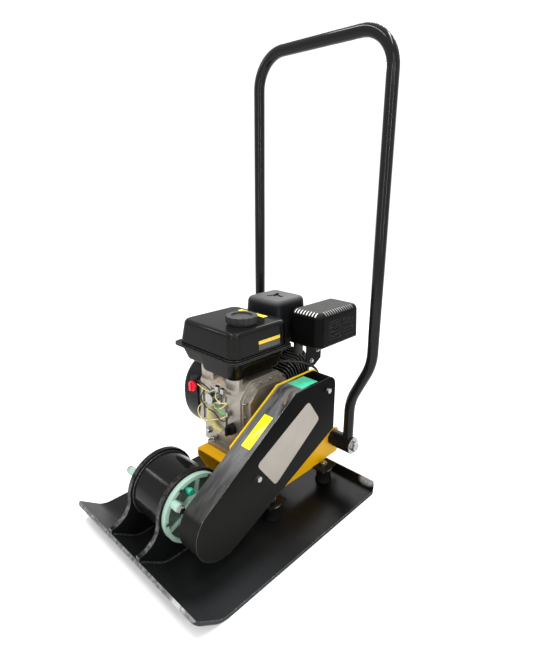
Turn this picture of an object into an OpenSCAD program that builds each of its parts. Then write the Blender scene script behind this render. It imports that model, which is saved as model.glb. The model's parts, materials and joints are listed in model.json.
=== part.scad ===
// Forward plate compactor with a petrol engine, a belt-driven exciter and a folding handle.
// X points forward, the way the machine travels, Y to the operator's left and Z up.
// The origin is the middle of the flat sole. All sizes are in millimetres.

/* [Base plate] */
// Width of the plate across the direction of travel
plate_w = 450; // [430:5:500]
// Length of the flat sole
sole_l = 476; // [464:2:500]
// Thickness of the plate steel
plate_t = 8; // [6:1:10]
// Inside bend radius under the nose
nose_bend_r = 60; // [40:5:70]
// Angle that the nose rises at
nose_angle = 37; // [30:1:42]
// Horizontal run of the nose
nose_run = 79; // [70:1:90]
// Bend radius under the rear lip
lip_bend_r = 15; // [12:1:20]
// Angle that the rear lip rises at
lip_angle = 50; // [40:1:60]
// Horizontal run of the rear lip
lip_run = 26; // [22:1:30]
// Corner radius of the nose, seen from above
nose_corner_r = 12; // [8:1:30]
// Corner radius of the rear lip, seen from above
lip_corner_r = 24; // [10:1:26]

/* [Exciter] */
// Distance of the exciter axis in front of the middle of the sole
exciter_x = 180; // [174:1:186]
// Height of the exciter axis
exciter_z = 108; // [104:1:112]
// Sideways place of the exciter tube's middle
exciter_y = -22; // [-26:1:-18]
// Length of the exciter tube between its ribs
tube_l = 98; // [90:2:104]
// Outside radius of the exciter tube
tube_r = 75; // [72:1:77]
// Wall of the exciter tube
tube_wall = 10; // [6:1:12]
// Radius of the rib rings round the tube's ends
ring_r = 82; // [80:1:84]
// Thickness of the ribs
rib_t = 12; // [8:1:14]
// Radius of the hollow curve in front of the rings
rib_front_r = 50; // [46:1:54]
// Radius of the hollow curve behind the rings
rib_rear_r = 66; // [60:1:68]
// Radius of the end covers
cover_r = 76; // [74:1:78]
// Thickness of the left end cover's flange, and of the right one's
cover_t = 12; // [10:1:14]
cover_right_t = 5; // [5:0.5:8]
// Bolt circle radius of the end covers
cover_bolt_r = 71.5; // [71:0.25:72]
// Bolts in each end cover
cover_bolts_n = 6; // [4:1:8]
// Outside radius of the exciter bearings
bearing_r = 36; // [34:1:38]
// Width of the exciter bearings
bearing_w = 18; // [16:1:20]
// Radius of the exciter shaft in its bearings
shaft_r = 17; // [15:0.5:18]
// Radius of the eccentric weight
weight_r = 56; // [50:1:58]
// Length of the eccentric weight along the shaft
weight_l = 54; // [40:2:60]

/* [Deck] */
// Height of the deck's top face, where the engine stands
deck_z = 144; // [142:1:148]
// Outside half width of the deck
deck_half_w = 85; // [83:1:87]
// Thickness of the deck's steel
deck_t = 4; // [3:0.5:5]
// Front end of the deck
deck_front_x = 70; // [60:1:80]
// Rear end of the deck's side walls
deck_rear_x = -285; // [-292:1:-282]
// Height of the deck's lower edge
deck_low_z = 52; // [50:1:56]
// Rubber mounts' distance from the middle line
mount_y = 102; // [100:1:106]
// Place of the front rubber mounts
mount_front_x = 0; // [-6:1:2]
// Place of the rear rubber mounts
mount_rear_x = -196; // [-202:1:-190]
// Radius of the rubber mounts
mount_r = 22; // [17:1:23]
// Travel of the deck each way on its rubber mounts
deck_travel = 4; // [2:0.5:4]

/* [Belt drive] */
// Distance of the crankshaft behind the middle of the sole, as a place along X
crank_x = -62; // [-66:1:-58]
// Height of the crankshaft above the deck
crank_rise = 106; // [104:1:110]
// Pitch radius of the clutch drum's groove
clutch_pitch_r = 55; // [52:1:58]
// Pitch radius of the exciter pulley's groove
pulley_pitch_r = 36; // [34:1:40]
// Top width of the belt
belt_w = 13; // [11:0.5:14]
// Depth of the belt
belt_d = 8; // [7:0.5:9]
// Sideways place of the belt's middle
belt_y = 114; // [112:1:116]

/* [Belt guard] */
// Depth of the belt guard's cover
guard_depth = 54; // [52:1:58]
// Sheet thickness of the guard
guard_t = 2; // [1.5:0.5:3]
// Radius of the guard's round lower end
guard_end_r = 68; // [66:1:72]
// Top edge of the guard above the crankshaft
guard_top = 80; // [78:1:84]
// Front end of the guard's top edge, in front of the crankshaft
guard_bend = 31; // [28:1:36]
// Rear edge of the guard behind the crankshaft
guard_rear = 113; // [110:1:116]
// Lower rear corner of the guard, below the crankshaft
guard_low = 62; // [60:1:66]
// Corner radius at the guard's top rear
guard_corner_r = 26; // [18:1:32]
// How far the yellow back plate stands out round the cover
back_lip = 3; // [2:0.5:4]

/* [Engine] */
// Right and left ends of the crankcase
case_y0 = -110; // [-112:1:-108]
case_y1 = 38; // [34:1:40]
// Thickness of the crankcase's side cover
case_cover_t = 28; // [24:1:30]
// Angle of the cylinder above the horizontal
cylinder_tilt = 25; // [20:1:28]
// Sideways place of the cylinder's axis
cylinder_y = -14; // [-16:1:-12]
// Radius of the fan housing
fan_r = 105; // [102:1:106]
// Depth of the fan housing along the crankshaft
fan_depth = 55; // [52:1:58]
// Depth of the recoil starter's cover
recoil_depth = 30; // [28:1:32]
// Radius of the recoil starter's cover
recoil_r = 92; // [88:1:94]

/* [Fuel tank] */
// Length of the tank's seam flange along X
tank_l = 187; // [182:1:192]
// Width of the tank's seam flange along Y
tank_w = 214; // [208:1:216]
// Rear edge of the tank's flange
tank_rear_x = -115; // [-119:1:-111]
// Left edge of the tank's flange
tank_left_y = 57; // [54:1:60]
// Height of the tank's flange above the deck
tank_seam = 253; // [251:1:258]
// Height of the upper shell above the flange
tank_top_h = 63; // [58:1:68]
// Depth of the lower shell below the flange
tank_bowl_h = 50; // [44:1:52]
// Radius of the fuel cap
cap_r = 36; // [32:1:38]
// Height of the fuel cap
cap_h = 20; // [16:1:24]

/* [Air cleaner and muffler] */
// Length and width of the air cleaner
air_l = 125; // [118:1:128]
air_w = 125; // [118:1:126]
// Height of the air cleaner's cover
air_h = 113; // [110:1:114]
// Length, width and height of the muffler guard
muffler_l = 170; // [162:1:176]
muffler_w = 100; // [96:1:104]
muffler_h = 84; // [80:1:86]

/* [Handle] */
// Outside radius of the handle tube
handle_r = 13.5; // [12:0.5:15]
// Wall of the handle tube
handle_wall = 2.6; // [2:0.2:3.4]
// Height of the handle's top bar above the pivot
handle_h = 960; // [920:2:1000]
// Half the distance between the upper legs' axes
handle_half_w = 191; // [185:1:196]
// Half the distance between the lower legs' axes
handle_low_half_w = 135; // [134:1:137]
// Bend radius of the handle's top corners
handle_top_bend = 80; // [60:2:90]
// Bend radius of the handle's lower bends
handle_low_bend = 60; // [45:1:62]
// Height of the lower and upper side bends above the pivot
handle_bend_z0 = 124; // [120:1:130]
handle_bend_z1 = 239; // [234:1:246]
// Handle pivot's place along X
pivot_x = -252; // [-256:1:-248]
// Height of the handle's pivot
pivot_z = 106; // [104:1:108]
// Radius and length of the pivot sleeves
sleeve_r = 22; // [19:0.5:23]
sleeve_l = 56; // [54:1:58]
// Radius of the pivot bolts
pivot_bolt_r = 8; // [6:0.5:9]

/* [Fits] */
// Radial gap of a shaft in its running bore
run_gap = 0.05; // [0.03:0.01:0.08]
// Gap between parts that move past each other
move_gap = 0.5; // [0.4:0.1:1]

/* [Hidden] */
$fn = 64;

black_paint = "#1c1d1d";
black_plastic = "#202122";
deck_yellow = "#e0a010";
cast_aluminium = "#a8a49c";
bright_zinc = "#b8bcbc";
bare_steel = "#8c8e90";
cover_green = "#9fc4ac";
rubber_black = "#181818";
switch_red = "#d01020";

// Plate
sole_x = sole_l / 2;
nose_len = (nose_run - nose_bend_r * sin(nose_angle)) / cos(nose_angle);
lip_len = (lip_run - lip_bend_r * sin(lip_angle)) / cos(lip_angle);
nose_x = sole_x + nose_run;
lip_x = -sole_x - lip_run;

// Exciter, along Y
rib_y0 = exciter_y - tube_l / 2 - rib_t;
rib_y1 = exciter_y + tube_l / 2 + rib_t;
tube_bore_r = tube_r - tube_wall;
cover_y0 = rib_y0 - cover_right_t;
cover_y1 = rib_y1 + cover_t;
spigot_gap = 0.2;
cover_hub_l = 14;
shaft_end_l = 4;
seal_r = shaft_r + 9;
cover_hub_r = seal_r + 6;
cover_rim_w = 9;
cover_web_t = 4;
filler_r = 9;
filler_l = 22;
filler_at = (cover_r - filler_r - 1) * [cos(37), sin(37)];
breather_at = (cover_r - cover_rim_w - 8) * [cos(72), sin(72)];
cover_screw_r = 3.6;
cover_screw_h = 2.5;
seal_w = 8;
seal_y = cover_y1 + cover_hub_l - seal_w;
pulley_seat_r = shaft_r - 3;
rib_foot_h = exciter_z - rib_rear_r;
bolt_head_h = 7;
bolt_head_r = 8;

// Deck and its rubber mounts
deck_floor_x = deck_rear_x + 85;
mount_disc_t = 3;
mount_stud_r = 5;
mount_ear_z = deck_low_z - deck_t;
mount_places = [for (x = [mount_front_x, mount_rear_x]) for (s = [-1, 1]) [x, s * mount_y]];

// Belt drive
crank_z = deck_z + crank_rise;
crank_gap_x = exciter_x - crank_x;
crank_gap_z = exciter_z - crank_z;
centre_gap = norm([crank_gap_x, crank_gap_z]);
belt_slope = atan2(crank_gap_z, crank_gap_x);
belt_wrap = asin((clutch_pitch_r - pulley_pitch_r) / centre_gap);
belt_run = centre_gap * cos(belt_wrap);
belt_half_angle = 19;
belt_gap = 0.4;
pulley_rim = 4;

// Guard, along Y
back_t = 3;
back_y = deck_half_w + back_t;
guard_y = back_y + guard_depth;
guard_bolt_r = 4;
guard_bolt_places = [[crank_x - guard_rear + 31, crank_z + guard_top - 31], [crank_x + 148, crank_z - 73]];
back_front_x = guard_bolt_places[1].x + 26;
rear_x = crank_x - guard_rear;
top_z = crank_z + guard_top;
bend_x = crank_x + guard_bend;

// Engine
pto_y = case_y1 + case_cover_t;
pto_boss_r = 34;
pto_hole_gap = 14;
pto_rib_l = 26;
case_rib_low = 66;
case_rib_drop = 46;
case_cover_r = 16;
case_rim_t = 6;
crank_r = 12.5;
fan_y = case_y0 - fan_depth;
recoil_y = fan_y - recoil_depth;
fan_wall = 3;
grip_rise = recoil_r + 6;
grip_rope = 50;
switch_x = crank_x + fan_r + 1;
switch_y = fan_y + fan_depth - 14;
switch_z = crank_z + 38;
case_front_x = crank_x + 100;
case_rear_x = crank_x - 75;
case_top_z = crank_z + 88;
cut_half = 150;
barrel_start = 64;
barrel_l = 54;
fin_n = 6;
fin_t = 3;
fin_half = 52;
fin_drop = 46;
head_start = barrel_start + barrel_l;
head_l = 34;
valve_cover_l = 22;
foot_h = 12;
sensor_in = 64;
sensor_h = 34;
sensor_w = 40;
sensor_z = deck_z + 140;
foot_reach = 18;
foot_y0 = -deck_half_w + 5;
foot_y1 = case_y1;

// Fuel tank
seam_z = deck_z + tank_seam;
seam_t = 5;
tank_inset = 9;
tank_draft = 2;
bowl_draft = 7;
tank_edge_r = 10;
bowl_step = 12;
bowl_deep_w = tank_left_y - tank_inset - case_y0 - 20;
tank_r = 24;
tank_mid_x = tank_rear_x + tank_l / 2;
tank_mid_y = tank_left_y - tank_w / 2;
tank_top_z = seam_z + tank_top_h;
cap_x = tank_mid_x + 11;
cap_y = tank_mid_y + 44;
tank_post_r = 9;
tank_post_sink = 40;
tank_post_x = crank_x + 84;
tank_posts = [[case_y0 + 9.5, 19, tank_bowl_h - bowl_step], [case_y0 + 22, 43, tank_bowl_h + 2],
    [case_y1 - 36, 46, tank_bowl_h]];
tank_wall = 2.5;

// Air cleaner and muffler
air_x = tank_rear_x - 10 - air_l / 2;
air_y = -68;
air_top_z = seam_z + 88;
air_low_z = air_top_z - air_h;
air_base_h = 12;
air_wall = 3;
air_corner_r = 22;
filter_gap = 12;
filter_wall = 18;
filter_h = air_h - 40;
muffler_x = tank_rear_x - 45 - muffler_l / 2;
muffler_y = 50;
muffler_top_z = seam_z + 72;
muffler_low_z = muffler_top_z - muffler_h;
shield_t = 2;
muffler_r = 18;
muffler_draft = 2;
muffler_floor_t = 3;
exhaust_r = 12;
exhaust_x = crank_x - (head_start + head_l - 5) * cos(cylinder_tilt) + fin_drop * sin(cylinder_tilt);
exhaust_y = muffler_y - 28;
carb_x = crank_x - 107.5;
throttle_l = 28;
choke_l = 28;
recess_l = 24;
carb_y = cylinder_y - fin_half - 24;
lever_y = carb_y - 20 - move_gap;
throttle_at = [carb_x + 14, lever_y, air_low_z - 18];
choke_at = [carb_x - 10, lever_y, air_low_z - 19];
valve_lever_l = 24;
valve_lever_w = 7;
valve_at = [carb_x - 8, lever_y, air_low_z - 33];

// Handle
sleeve_y0 = deck_half_w + 9;
sleeve_y1 = sleeve_y0 + sleeve_l;
bush_r = sleeve_r - 4;
pivot_washer_t = 3;
tube_lap = 1;
tube_step = 0.05;

// Draws a flat shape, laid out in X and Z, as a solid from y0 to y1.
module xz(y0, y1) {
    translate([0, y1, 0]) rotate([90, 0, 0]) linear_extrude(y1 - y0) children();
}

// A round bar or disc along Y.
module bar_y(x, z, y0, y1, r) {
    translate([x, y0, z]) rotate([-90, 0, 0]) cylinder(h = y1 - y0, r = r);
}

// A round bar or disc along Y with a bore through it.
module ring_y(x, z, y0, y1, r, bore) {
    difference() {
        bar_y(x, z, y0, y1, r);
        bar_y(x, z, y0 - 1, y1 + 1, bore);
    }
}

// A hexagon head along Y that starts at y0 and points the way of side, 1 or -1.
module hex_y(x, z, y0, side, h, r) {
    translate([x, y0, z]) rotate([-90 * side, 0, 0]) cylinder(h = h, r = r, $fn = 6);
}

// A flat rectangle with rounded corners, centred on the origin.
module round_rect(l, w, r) {
    square([l - 2 * r, w], center = true);
    square([l, w - 2 * r], center = true);
    for (x = [-1, 1]) for (y = [-1, 1])
        translate([x * (l / 2 - r), y * (w / 2 - r)]) circle(r);
}

// A block with rounded upright edges, centred in X and Y, from z = 0 up.
module round_block(l, w, h, r) {
    linear_extrude(h) round_rect(l, w, r);
}

// A moulded block whose top edges are rounded over and whose sides draw in towards the top.
module domed_block(l, w, h, r, draft, edge_r) {
    hull() {
        linear_extrude(1) round_rect(l, w, r, $fn = 32);
        for (x = [-1, 1]) for (y = [-1, 1])
            translate([x * (l / 2 - draft - r), y * (w / 2 - draft - r), h - edge_r])
                rotate_extrude($fn = 32)
                    intersection() {
                        translate([max(0, r - edge_r), 0]) circle(edge_r, $fn = 24);
                        square(r + edge_r);
                    }
    }
}

function arc(c, r, a0, a1, n = 8) =
    [for (i = [0:n]) c + r * [cos(a0 + (a1 - a0) * i / n), sin(a0 + (a1 - a0) * i / n)]];
function unit(v) = v / norm(v);
function turn(v, a) = [v.x * cos(a) - v.y * sin(a), v.x * sin(a) + v.y * cos(a)];

// The point where a line from p touches the circle round c; side is 1 or -1.
function touch(p, c, r, side) =
    let (d = c - p, a = asin(r / norm(d)))
    p + sqrt(norm(d) * norm(d) - r * r) * turn(unit(d), side * a);

// Bottom face of the plate from the lip's tip to the nose's tip, raised by up along its own normal.
function plate_line(up) = concat(
    [[lip_x, plate_rise(lip_bend_r, lip_angle, lip_len)] + up * [sin(lip_angle), cos(lip_angle)]],
    arc([-sole_x, lip_bend_r], lip_bend_r - up, 270 - lip_angle, 270),
    arc([sole_x, nose_bend_r], nose_bend_r - up, 270, 270 + nose_angle),
    [[nose_x, plate_rise(nose_bend_r, nose_angle, nose_len)] + up * [-sin(nose_angle), cos(nose_angle)]]
);
function plate_rise(r, a, l) = r * (1 - cos(a)) + l * sin(a);
function reversed(list) = [for (i = [len(list) - 1:-1:0]) list[i]];

// Everything at or below the plate's upper face, as a flat shape in X and Z.
module under_plate() {
    top = plate_line(plate_t);
    polygon(concat(top, [[nose_x + 100, top[len(top) - 1].y], [nose_x + 100, -1], [lip_x - 100, -1],
        [lip_x - 100, top[0].y]]));
}

// Base plate
module base_plate() {
    color(black_paint) intersection() {
        xz(-plate_w / 2, plate_w / 2) polygon(concat(plate_line(0), reversed(plate_line(plate_t))));
        translate([(nose_x + lip_x) / 2, 0, -1]) linear_extrude(nose_run + 2) plate_outline();
    }
}

// The plate seen from above, centred on the middle of its length.
module plate_outline() {
    half_l = (nose_x - lip_x) / 2;
    half_w = plate_w / 2;
    polygon([[-half_l + lip_corner_r, -half_w], [half_l - nose_corner_r, -half_w],
        [half_l, -half_w + nose_corner_r], [half_l, half_w - nose_corner_r],
        [half_l - nose_corner_r, half_w], [-half_l + lip_corner_r, half_w],
        [-half_l, half_w - lip_corner_r], [-half_l, -half_w + lip_corner_r]]);
    for (s = [-1, 1]) {
        translate([half_l - nose_corner_r, s * (half_w - nose_corner_r)]) circle(nose_corner_r);
        translate([-half_l + lip_corner_r, s * (half_w - lip_corner_r)]) circle(lip_corner_r);
    }
}

// One rib's outline: a ring round the tube on a foot that sweeps out to the nose and to the rear.
module rib_outline() {
    front_x = min(exciter_x + ring_r + rib_front_r, nose_x - 6);
    rear_foot_x = exciter_x - ring_r - rib_rear_r;
    difference() {
        union() {
            translate([exciter_x, exciter_z]) circle(ring_r);
            translate([rear_foot_x, 0]) square([front_x - rear_foot_x, exciter_z]);
        }
        translate([exciter_x + ring_r + rib_front_r, exciter_z]) circle(rib_front_r);
        translate([rear_foot_x, exciter_z]) circle(rib_rear_r);
        translate([exciter_x, exciter_z]) circle(tube_bore_r);
        under_plate();
    }
}

module exciter_ribs() {
    color(black_paint) {
        xz(rib_y0, rib_y0 + rib_t) rib_outline();
        xz(rib_y1 - rib_t, rib_y1) rib_outline();
    }
}

module exciter_tube() {
    color(black_paint) ring_y(exciter_x, exciter_z, rib_y0 + rib_t, rib_y1 - rib_t, tube_r, tube_bore_r);
}

// Places of the cover's bolts round the exciter axis, in X and Z.
function cover_bolt_at(i) =
    [exciter_x, exciter_z] + cover_bolt_r * [cos(i * 360 / cover_bolts_n), sin(i * 360 / cover_bolts_n)];

// One end cover with a flange t thick: a cup with a rim, a hub, ribs between them and a filler boss, drawn
// with its flange's inner face at y = 0 and its hub pointing to +Y. A thin flange leaves no room for ribs.
module end_cover(open_hub, t) {
    rim_r = cover_r - cover_rim_w;
    rib_h = t - cover_web_t - 1;
    difference() {
        union() {
            ring_y(0, 0, 0, t, cover_r, rim_r);
            bar_y(0, 0, 0, cover_web_t, rim_r + 1);
            bar_y(0, 0, -bearing_w, 0, tube_bore_r - spigot_gap);
            bar_y(0, 0, 0, t + cover_hub_l, cover_hub_r);
            if (rib_h > 0) for (a = [40:60:340]) rotate([0, -a, 0])
                translate([cover_hub_r - 2, cover_web_t, -3]) cube([rim_r - cover_hub_r + 3, rib_h, 6]);
            bar_y(filler_at.x, filler_at.y, 0, t + filler_l, filler_r);
        }
        bar_y(0, 0, -bearing_w - 1, 0, bearing_r);
        if (open_hub) {
            bar_y(0, 0, -1, t + cover_hub_l + 1, shaft_r + move_gap);
            bar_y(0, 0, t + cover_hub_l - seal_w, t + cover_hub_l + 1, seal_r);
        } else {
            bar_y(0, 0, -1, shaft_end_l + 1, shaft_r + move_gap);
        }
    }
}

module exciter_cover_left() {
    color(cover_green) translate([exciter_x, rib_y1, exciter_z]) end_cover(true, cover_t);
}

module exciter_cover_right() {
    color(cover_green) translate([exciter_x, rib_y0, exciter_z]) mirror([0, 1, 0])
        end_cover(false, cover_right_t);
}

module cover_bolts() {
    color(bright_zinc) for (i = [0:cover_bolts_n - 1]) {
        p = cover_bolt_at(i);
        bar_y(p.x, p.y, cover_y1, cover_y1 + cover_screw_h, cover_screw_r);
        bar_y(p.x, p.y, cover_y0 - cover_screw_h, cover_y0, cover_screw_r);
    }
}

module exciter_bearings() {
    color(bare_steel) {
        ring_y(exciter_x, exciter_z, rib_y1 - bearing_w, rib_y1, bearing_r, shaft_r + run_gap);
        ring_y(exciter_x, exciter_z, rib_y0, rib_y0 + bearing_w, bearing_r, shaft_r + run_gap);
    }
}

module shaft_seal() {
    color(rubber_black) ring_y(exciter_x, exciter_z, seal_y, seal_y + seal_w, seal_r, shaft_r + run_gap);
}

// Filler and level plugs, one on the boss of each end cover.
module oil_filler() {
    x = exciter_x + filler_at.x;
    z = exciter_z + filler_at.y;
    collar = 4;
    color(bright_zinc) {
        bar_y(x, z, cover_y1 + filler_l, cover_y1 + filler_l + collar, filler_r);
        hex_y(x, z, cover_y1 + filler_l + collar, 1, 5, filler_r - 1);
        bar_y(x, z, cover_y0 - filler_l - collar, cover_y0 - filler_l, filler_r);
        hex_y(x, z, cover_y0 - filler_l - collar, -1, 5, filler_r - 1);
    }
}

module breather_cap() {
    x = exciter_x + breather_at.x;
    z = exciter_z + breather_at.y;
    foot_y = rib_y1 + cover_web_t;
    color("#10a070") {
        bar_y(x, z, foot_y, foot_y + 14, 4);
        bar_y(x, z, foot_y + 14, foot_y + 24, 7);
    }
}

// Rubber mounts between the plate and the deck
module mount_feet() {
    color(bare_steel) for (p = mount_places)
        translate([p.x, p.y, plate_t]) cylinder(h = mount_disc_t, r = mount_r);
}

module rubber_mounts() {
    low = plate_t + mount_disc_t;
    high = mount_ear_z - mount_disc_t;
    waist = mount_r - 3;
    color(rubber_black) for (p = mount_places) translate([p.x, p.y, low])
        rotate_extrude() polygon(concat([[0, 0], [mount_r, 0]],
            [for (i = [1:7]) [waist + (mount_r - waist) * pow(abs(i / 4 - 1), 2), (high - low) * i / 8]],
            [[mount_r, high - low], [0, high - low]]));
}

module mount_studs() {
    nut_h = 9;
    color(bright_zinc) for (p = mount_places) translate([p.x, p.y, mount_ear_z]) {
        translate([0, 0, -mount_disc_t]) cylinder(h = mount_disc_t, r = mount_r);
        cylinder(h = deck_t + nut_h + 4, r = mount_stud_r);
        translate([0, 0, deck_t]) cylinder(h = nut_h, r = mount_stud_r + 4, $fn = 6);
    }
}

// Exciter rotor
module exciter_shaft() {
    color(bare_steel) {
        bar_y(exciter_x, exciter_z, rib_y0 - shaft_end_l, belt_y - belt_w, shaft_r);
        bar_y(exciter_x, exciter_z, belt_y - belt_w, belt_y + belt_w, pulley_seat_r);
    }
}

module eccentric_weight() {
    color(bare_steel) difference() {
        bar_y(exciter_x, exciter_z, exciter_y - weight_l / 2, exciter_y + weight_l / 2, weight_r);
        bar_y(exciter_x, exciter_z, exciter_y - weight_l, exciter_y + weight_l, shaft_r);
        translate([exciter_x - weight_r - 1, exciter_y - weight_l, exciter_z + shaft_r + 6])
            cube([2 * weight_r + 2, 2 * weight_l, weight_r]);
        for (s = [-1, 1])
            translate([exciter_x + s * (weight_r + shaft_r + 6), exciter_y, exciter_z + shaft_r + 6])
            cube([2 * weight_r, 2 * weight_l, 2 * shaft_r + 12], center = true);
    }
}

// A pulley's half section: a rim with a V groove for the belt, from bore to rim.
module pulley_section(pitch_r, bore, half_w) {
    groove_top = belt_w / 2 + belt_gap;
    groove_low = groove_top - belt_d * tan(belt_half_angle);
    floor_r = pitch_r - belt_d / 2 - 2;
    rim_r = pitch_r + belt_d / 2 + 1;
    polygon([[bore, -half_w], [rim_r, -half_w], [rim_r, -groove_top], [floor_r, -groove_low + 0.6],
        [floor_r, groove_low - 0.6], [rim_r, groove_top], [rim_r, half_w], [bore, half_w]]);
}

module exciter_pulley() {
    color(bare_steel) translate([exciter_x, belt_y, exciter_z]) rotate([-90, 0, 0])
        rotate_extrude() pulley_section(pulley_pitch_r, pulley_seat_r, belt_w / 2 + pulley_rim);
}

module pulley_bolt() {
    end_y = belt_y + belt_w;
    color(bright_zinc) {
        bar_y(exciter_x, exciter_z, end_y, end_y + 3, pulley_seat_r + 4);
        hex_y(exciter_x, exciter_z, end_y + 3, 1, bolt_head_h, bolt_head_r + 1);
    }
}

// Crankshaft group
module crankshaft() {
    color(bare_steel) bar_y(crank_x, crank_z, fan_y + 10, belt_y + belt_w, crank_r);
}

module flywheel() {
    vane_n = 18;
    vane_t = 3;
    vane_r0 = crank_r + 32;
    vane_tip_gap = 18;
    vane_y0 = fan_y + fan_wall + 2;
    disc_t = 26;
    disc_y1 = case_y0 - 8;
    color(cast_aluminium) {
        ring_y(crank_x, crank_z, disc_y1 - disc_t, disc_y1, fan_r - 16, crank_r);
        for (i = [0:vane_n - 1]) translate([crank_x, 0, crank_z]) rotate([0, i * 360 / vane_n, 0])
            translate([vane_r0, vane_y0, -vane_t / 2])
                cube([fan_r - vane_tip_gap - vane_r0, disc_y1 - disc_t + 2 - vane_y0, vane_t]);
    }
}

module clutch_drum() {
    drum_r = clutch_pitch_r + belt_d / 2 + 6;
    drum_y0 = back_y + 3;
    rim_half = belt_w / 2 + pulley_rim;
    drum_wall = 5;
    web_y = belt_y - rim_half - 4;
    color(bare_steel) {
        translate([crank_x, belt_y, crank_z]) rotate([-90, 0, 0])
            rotate_extrude() pulley_section(clutch_pitch_r, crank_r, rim_half);
        ring_y(crank_x, crank_z, drum_y0, belt_y - rim_half, drum_r, drum_r - drum_wall);
        ring_y(crank_x, crank_z, web_y, belt_y - rim_half, drum_r - drum_wall / 2, crank_r);
        ring_y(crank_x, crank_z, web_y, belt_y, clutch_pitch_r - belt_d - drum_wall, crank_r);
    }
}

module clutch_bolt() {
    end_y = belt_y + belt_w;
    color(bright_zinc) {
        bar_y(crank_x, crank_z, end_y, end_y + 3, crank_r + 6);
        hex_y(crank_x, crank_z, end_y + 3, 1, bolt_head_h, bolt_head_r + 1);
    }
}

// Engine deck: a folded channel with ears over the rubber mounts and side walls that carry the pivot
module deck_wall_outline() {
    corner = 12;
    polygon([[deck_front_x, deck_z], [deck_front_x, deck_z - 20], [mount_front_x + mount_r + 8, deck_low_z],
        [mount_front_x + mount_r + 8, mount_ear_z], [mount_rear_x - mount_r - 8, mount_ear_z],
        [mount_rear_x - mount_r - 8, deck_low_z], [deck_rear_x + corner, deck_low_z],
        [deck_rear_x, deck_low_z + corner], [deck_rear_x, deck_z - 3 * corner],
        [deck_rear_x + corner, deck_z - 1.5 * corner], [deck_floor_x, deck_z]]);
}

module engine_deck() {
    color(deck_yellow) difference() {
        union() {
            for (s = [-1, 1]) {
                y0 = s > 0 ? deck_half_w - deck_t : -deck_half_w;
                xz(y0, y0 + deck_t) deck_wall_outline();
            }
            translate([deck_floor_x, -deck_half_w, deck_z - deck_t])
                cube([deck_front_x - deck_floor_x, 2 * deck_half_w, deck_t]);
            for (p = mount_places) {
                s = sign(p.y);
                y0 = s > 0 ? deck_half_w - deck_t : -mount_y - mount_r + 2;
                translate([p.x - mount_r - 6, y0, mount_ear_z])
                    cube([2 * mount_r + 12, mount_y + mount_r - 2 - deck_half_w + deck_t, deck_t]);
            }
        }
        for (p = mount_places) translate([p.x, p.y, mount_ear_z - 1])
            cylinder(h = deck_t + 2, r = mount_stud_r);
        bar_y(pivot_x, pivot_z, -deck_half_w - 1, deck_half_w + 1, pivot_bolt_r);
    }
}

// The guard's outline in X and Z, grown by out all round.
module guard_outline(out = 0) {
    end = [exciter_x, exciter_z];
    r = guard_end_r + out;
    bend = [bend_x + out * 0.6, top_z + out];
    low = [rear_x - out, crank_z - guard_low - out];
    corner = guard_corner_r + out;
    upper = touch(bend, end, r, 1) - end;
    lower = touch(low, end, r, -1) - end;
    polygon(concat([bend], arc(end, r, atan2(upper.y, upper.x), atan2(lower.y, lower.x), 24), [low],
        arc([low.x + corner, bend.y - corner], corner, 180, 90)));
}

module guard_back_plate() {
    color(deck_yellow) difference() {
        xz(deck_half_w, back_y) guard_outline(back_lip);
        bar_y(crank_x, crank_z, 0, back_y + 1, pto_boss_r + pto_hole_gap);
        translate([back_front_x, 0, 0]) cube([2 * guard_end_r + exciter_x - back_front_x, back_y + 1, top_z]);
    }
}

module belt_guard() {
    color(black_paint) difference() {
        xz(back_y, guard_y) guard_outline();
        xz(back_y - 1, guard_y - guard_t) guard_outline(-guard_t);
        for (p = guard_bolt_places) bar_y(p.x, p.y, guard_y - guard_t - 1, guard_y + 1, guard_bolt_r);
    }
}

module guard_bolts() {
    color(bright_zinc) for (p = guard_bolt_places) {
        bar_y(p.x, p.y, back_y, guard_y, guard_bolt_r);
        bar_y(p.x, p.y, guard_y, guard_y + 1.5, bolt_head_r + 2);
        hex_y(p.x, p.y, guard_y + 1.5, 1, bolt_head_h - 1, bolt_head_r);
    }
}

// Belt section at a pulley, drawn in by inset: x is the radius, y runs along the shaft.
module belt_section(pitch_r, inset = 0) {
    half_d = belt_d / 2 - inset;
    half_top = belt_w / 2 - inset;
    half_low = half_top - belt_d * tan(belt_half_angle);
    polygon([[pitch_r - half_d, -half_low], [pitch_r + half_d, -half_top],
        [pitch_r + half_d, half_top], [pitch_r - half_d, half_low]]);
}

// One straight run of the belt, from the clutch to the exciter pulley; side is 1 above and -1 below.
module belt_straight(side) {
    mirror([0, 0, side > 0 ? 0 : 1]) rotate([0, belt_wrap, 0]) translate([0, 0, clutch_pitch_r])
        rotate([90, 0, 90]) translate([0, 0, -tube_lap]) linear_extrude(belt_run + 2 * tube_lap) rotate(90)
            belt_section(0, tube_step);
}

module v_belt() {
    color(rubber_black) translate([crank_x, belt_y, crank_z]) rotate([0, -belt_slope, 0]) {
        rotate([-90, 0, 0]) rotate([0, 0, 90 - belt_wrap])
            rotate_extrude(angle = 180 + 2 * belt_wrap) belt_section(clutch_pitch_r);
        translate([centre_gap, 0, 0]) rotate([-90, 0, 0]) rotate([0, 0, -90 + belt_wrap])
            rotate_extrude(angle = 180 - 2 * belt_wrap) belt_section(pulley_pitch_r);
        belt_straight(1);
        belt_straight(-1);
    }
}

// Engine block
module case_outline() {
    low_x = case_front_x - 14;
    polygon([[case_rear_x, deck_z], [low_x, deck_z], [low_x, deck_z + 46], [case_front_x, deck_z + 60],
        [case_front_x, case_top_z - 36], [case_front_x - 30, case_top_z], [crank_x - 20, case_top_z],
        [case_rear_x, crank_z + 40]]);
}

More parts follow.
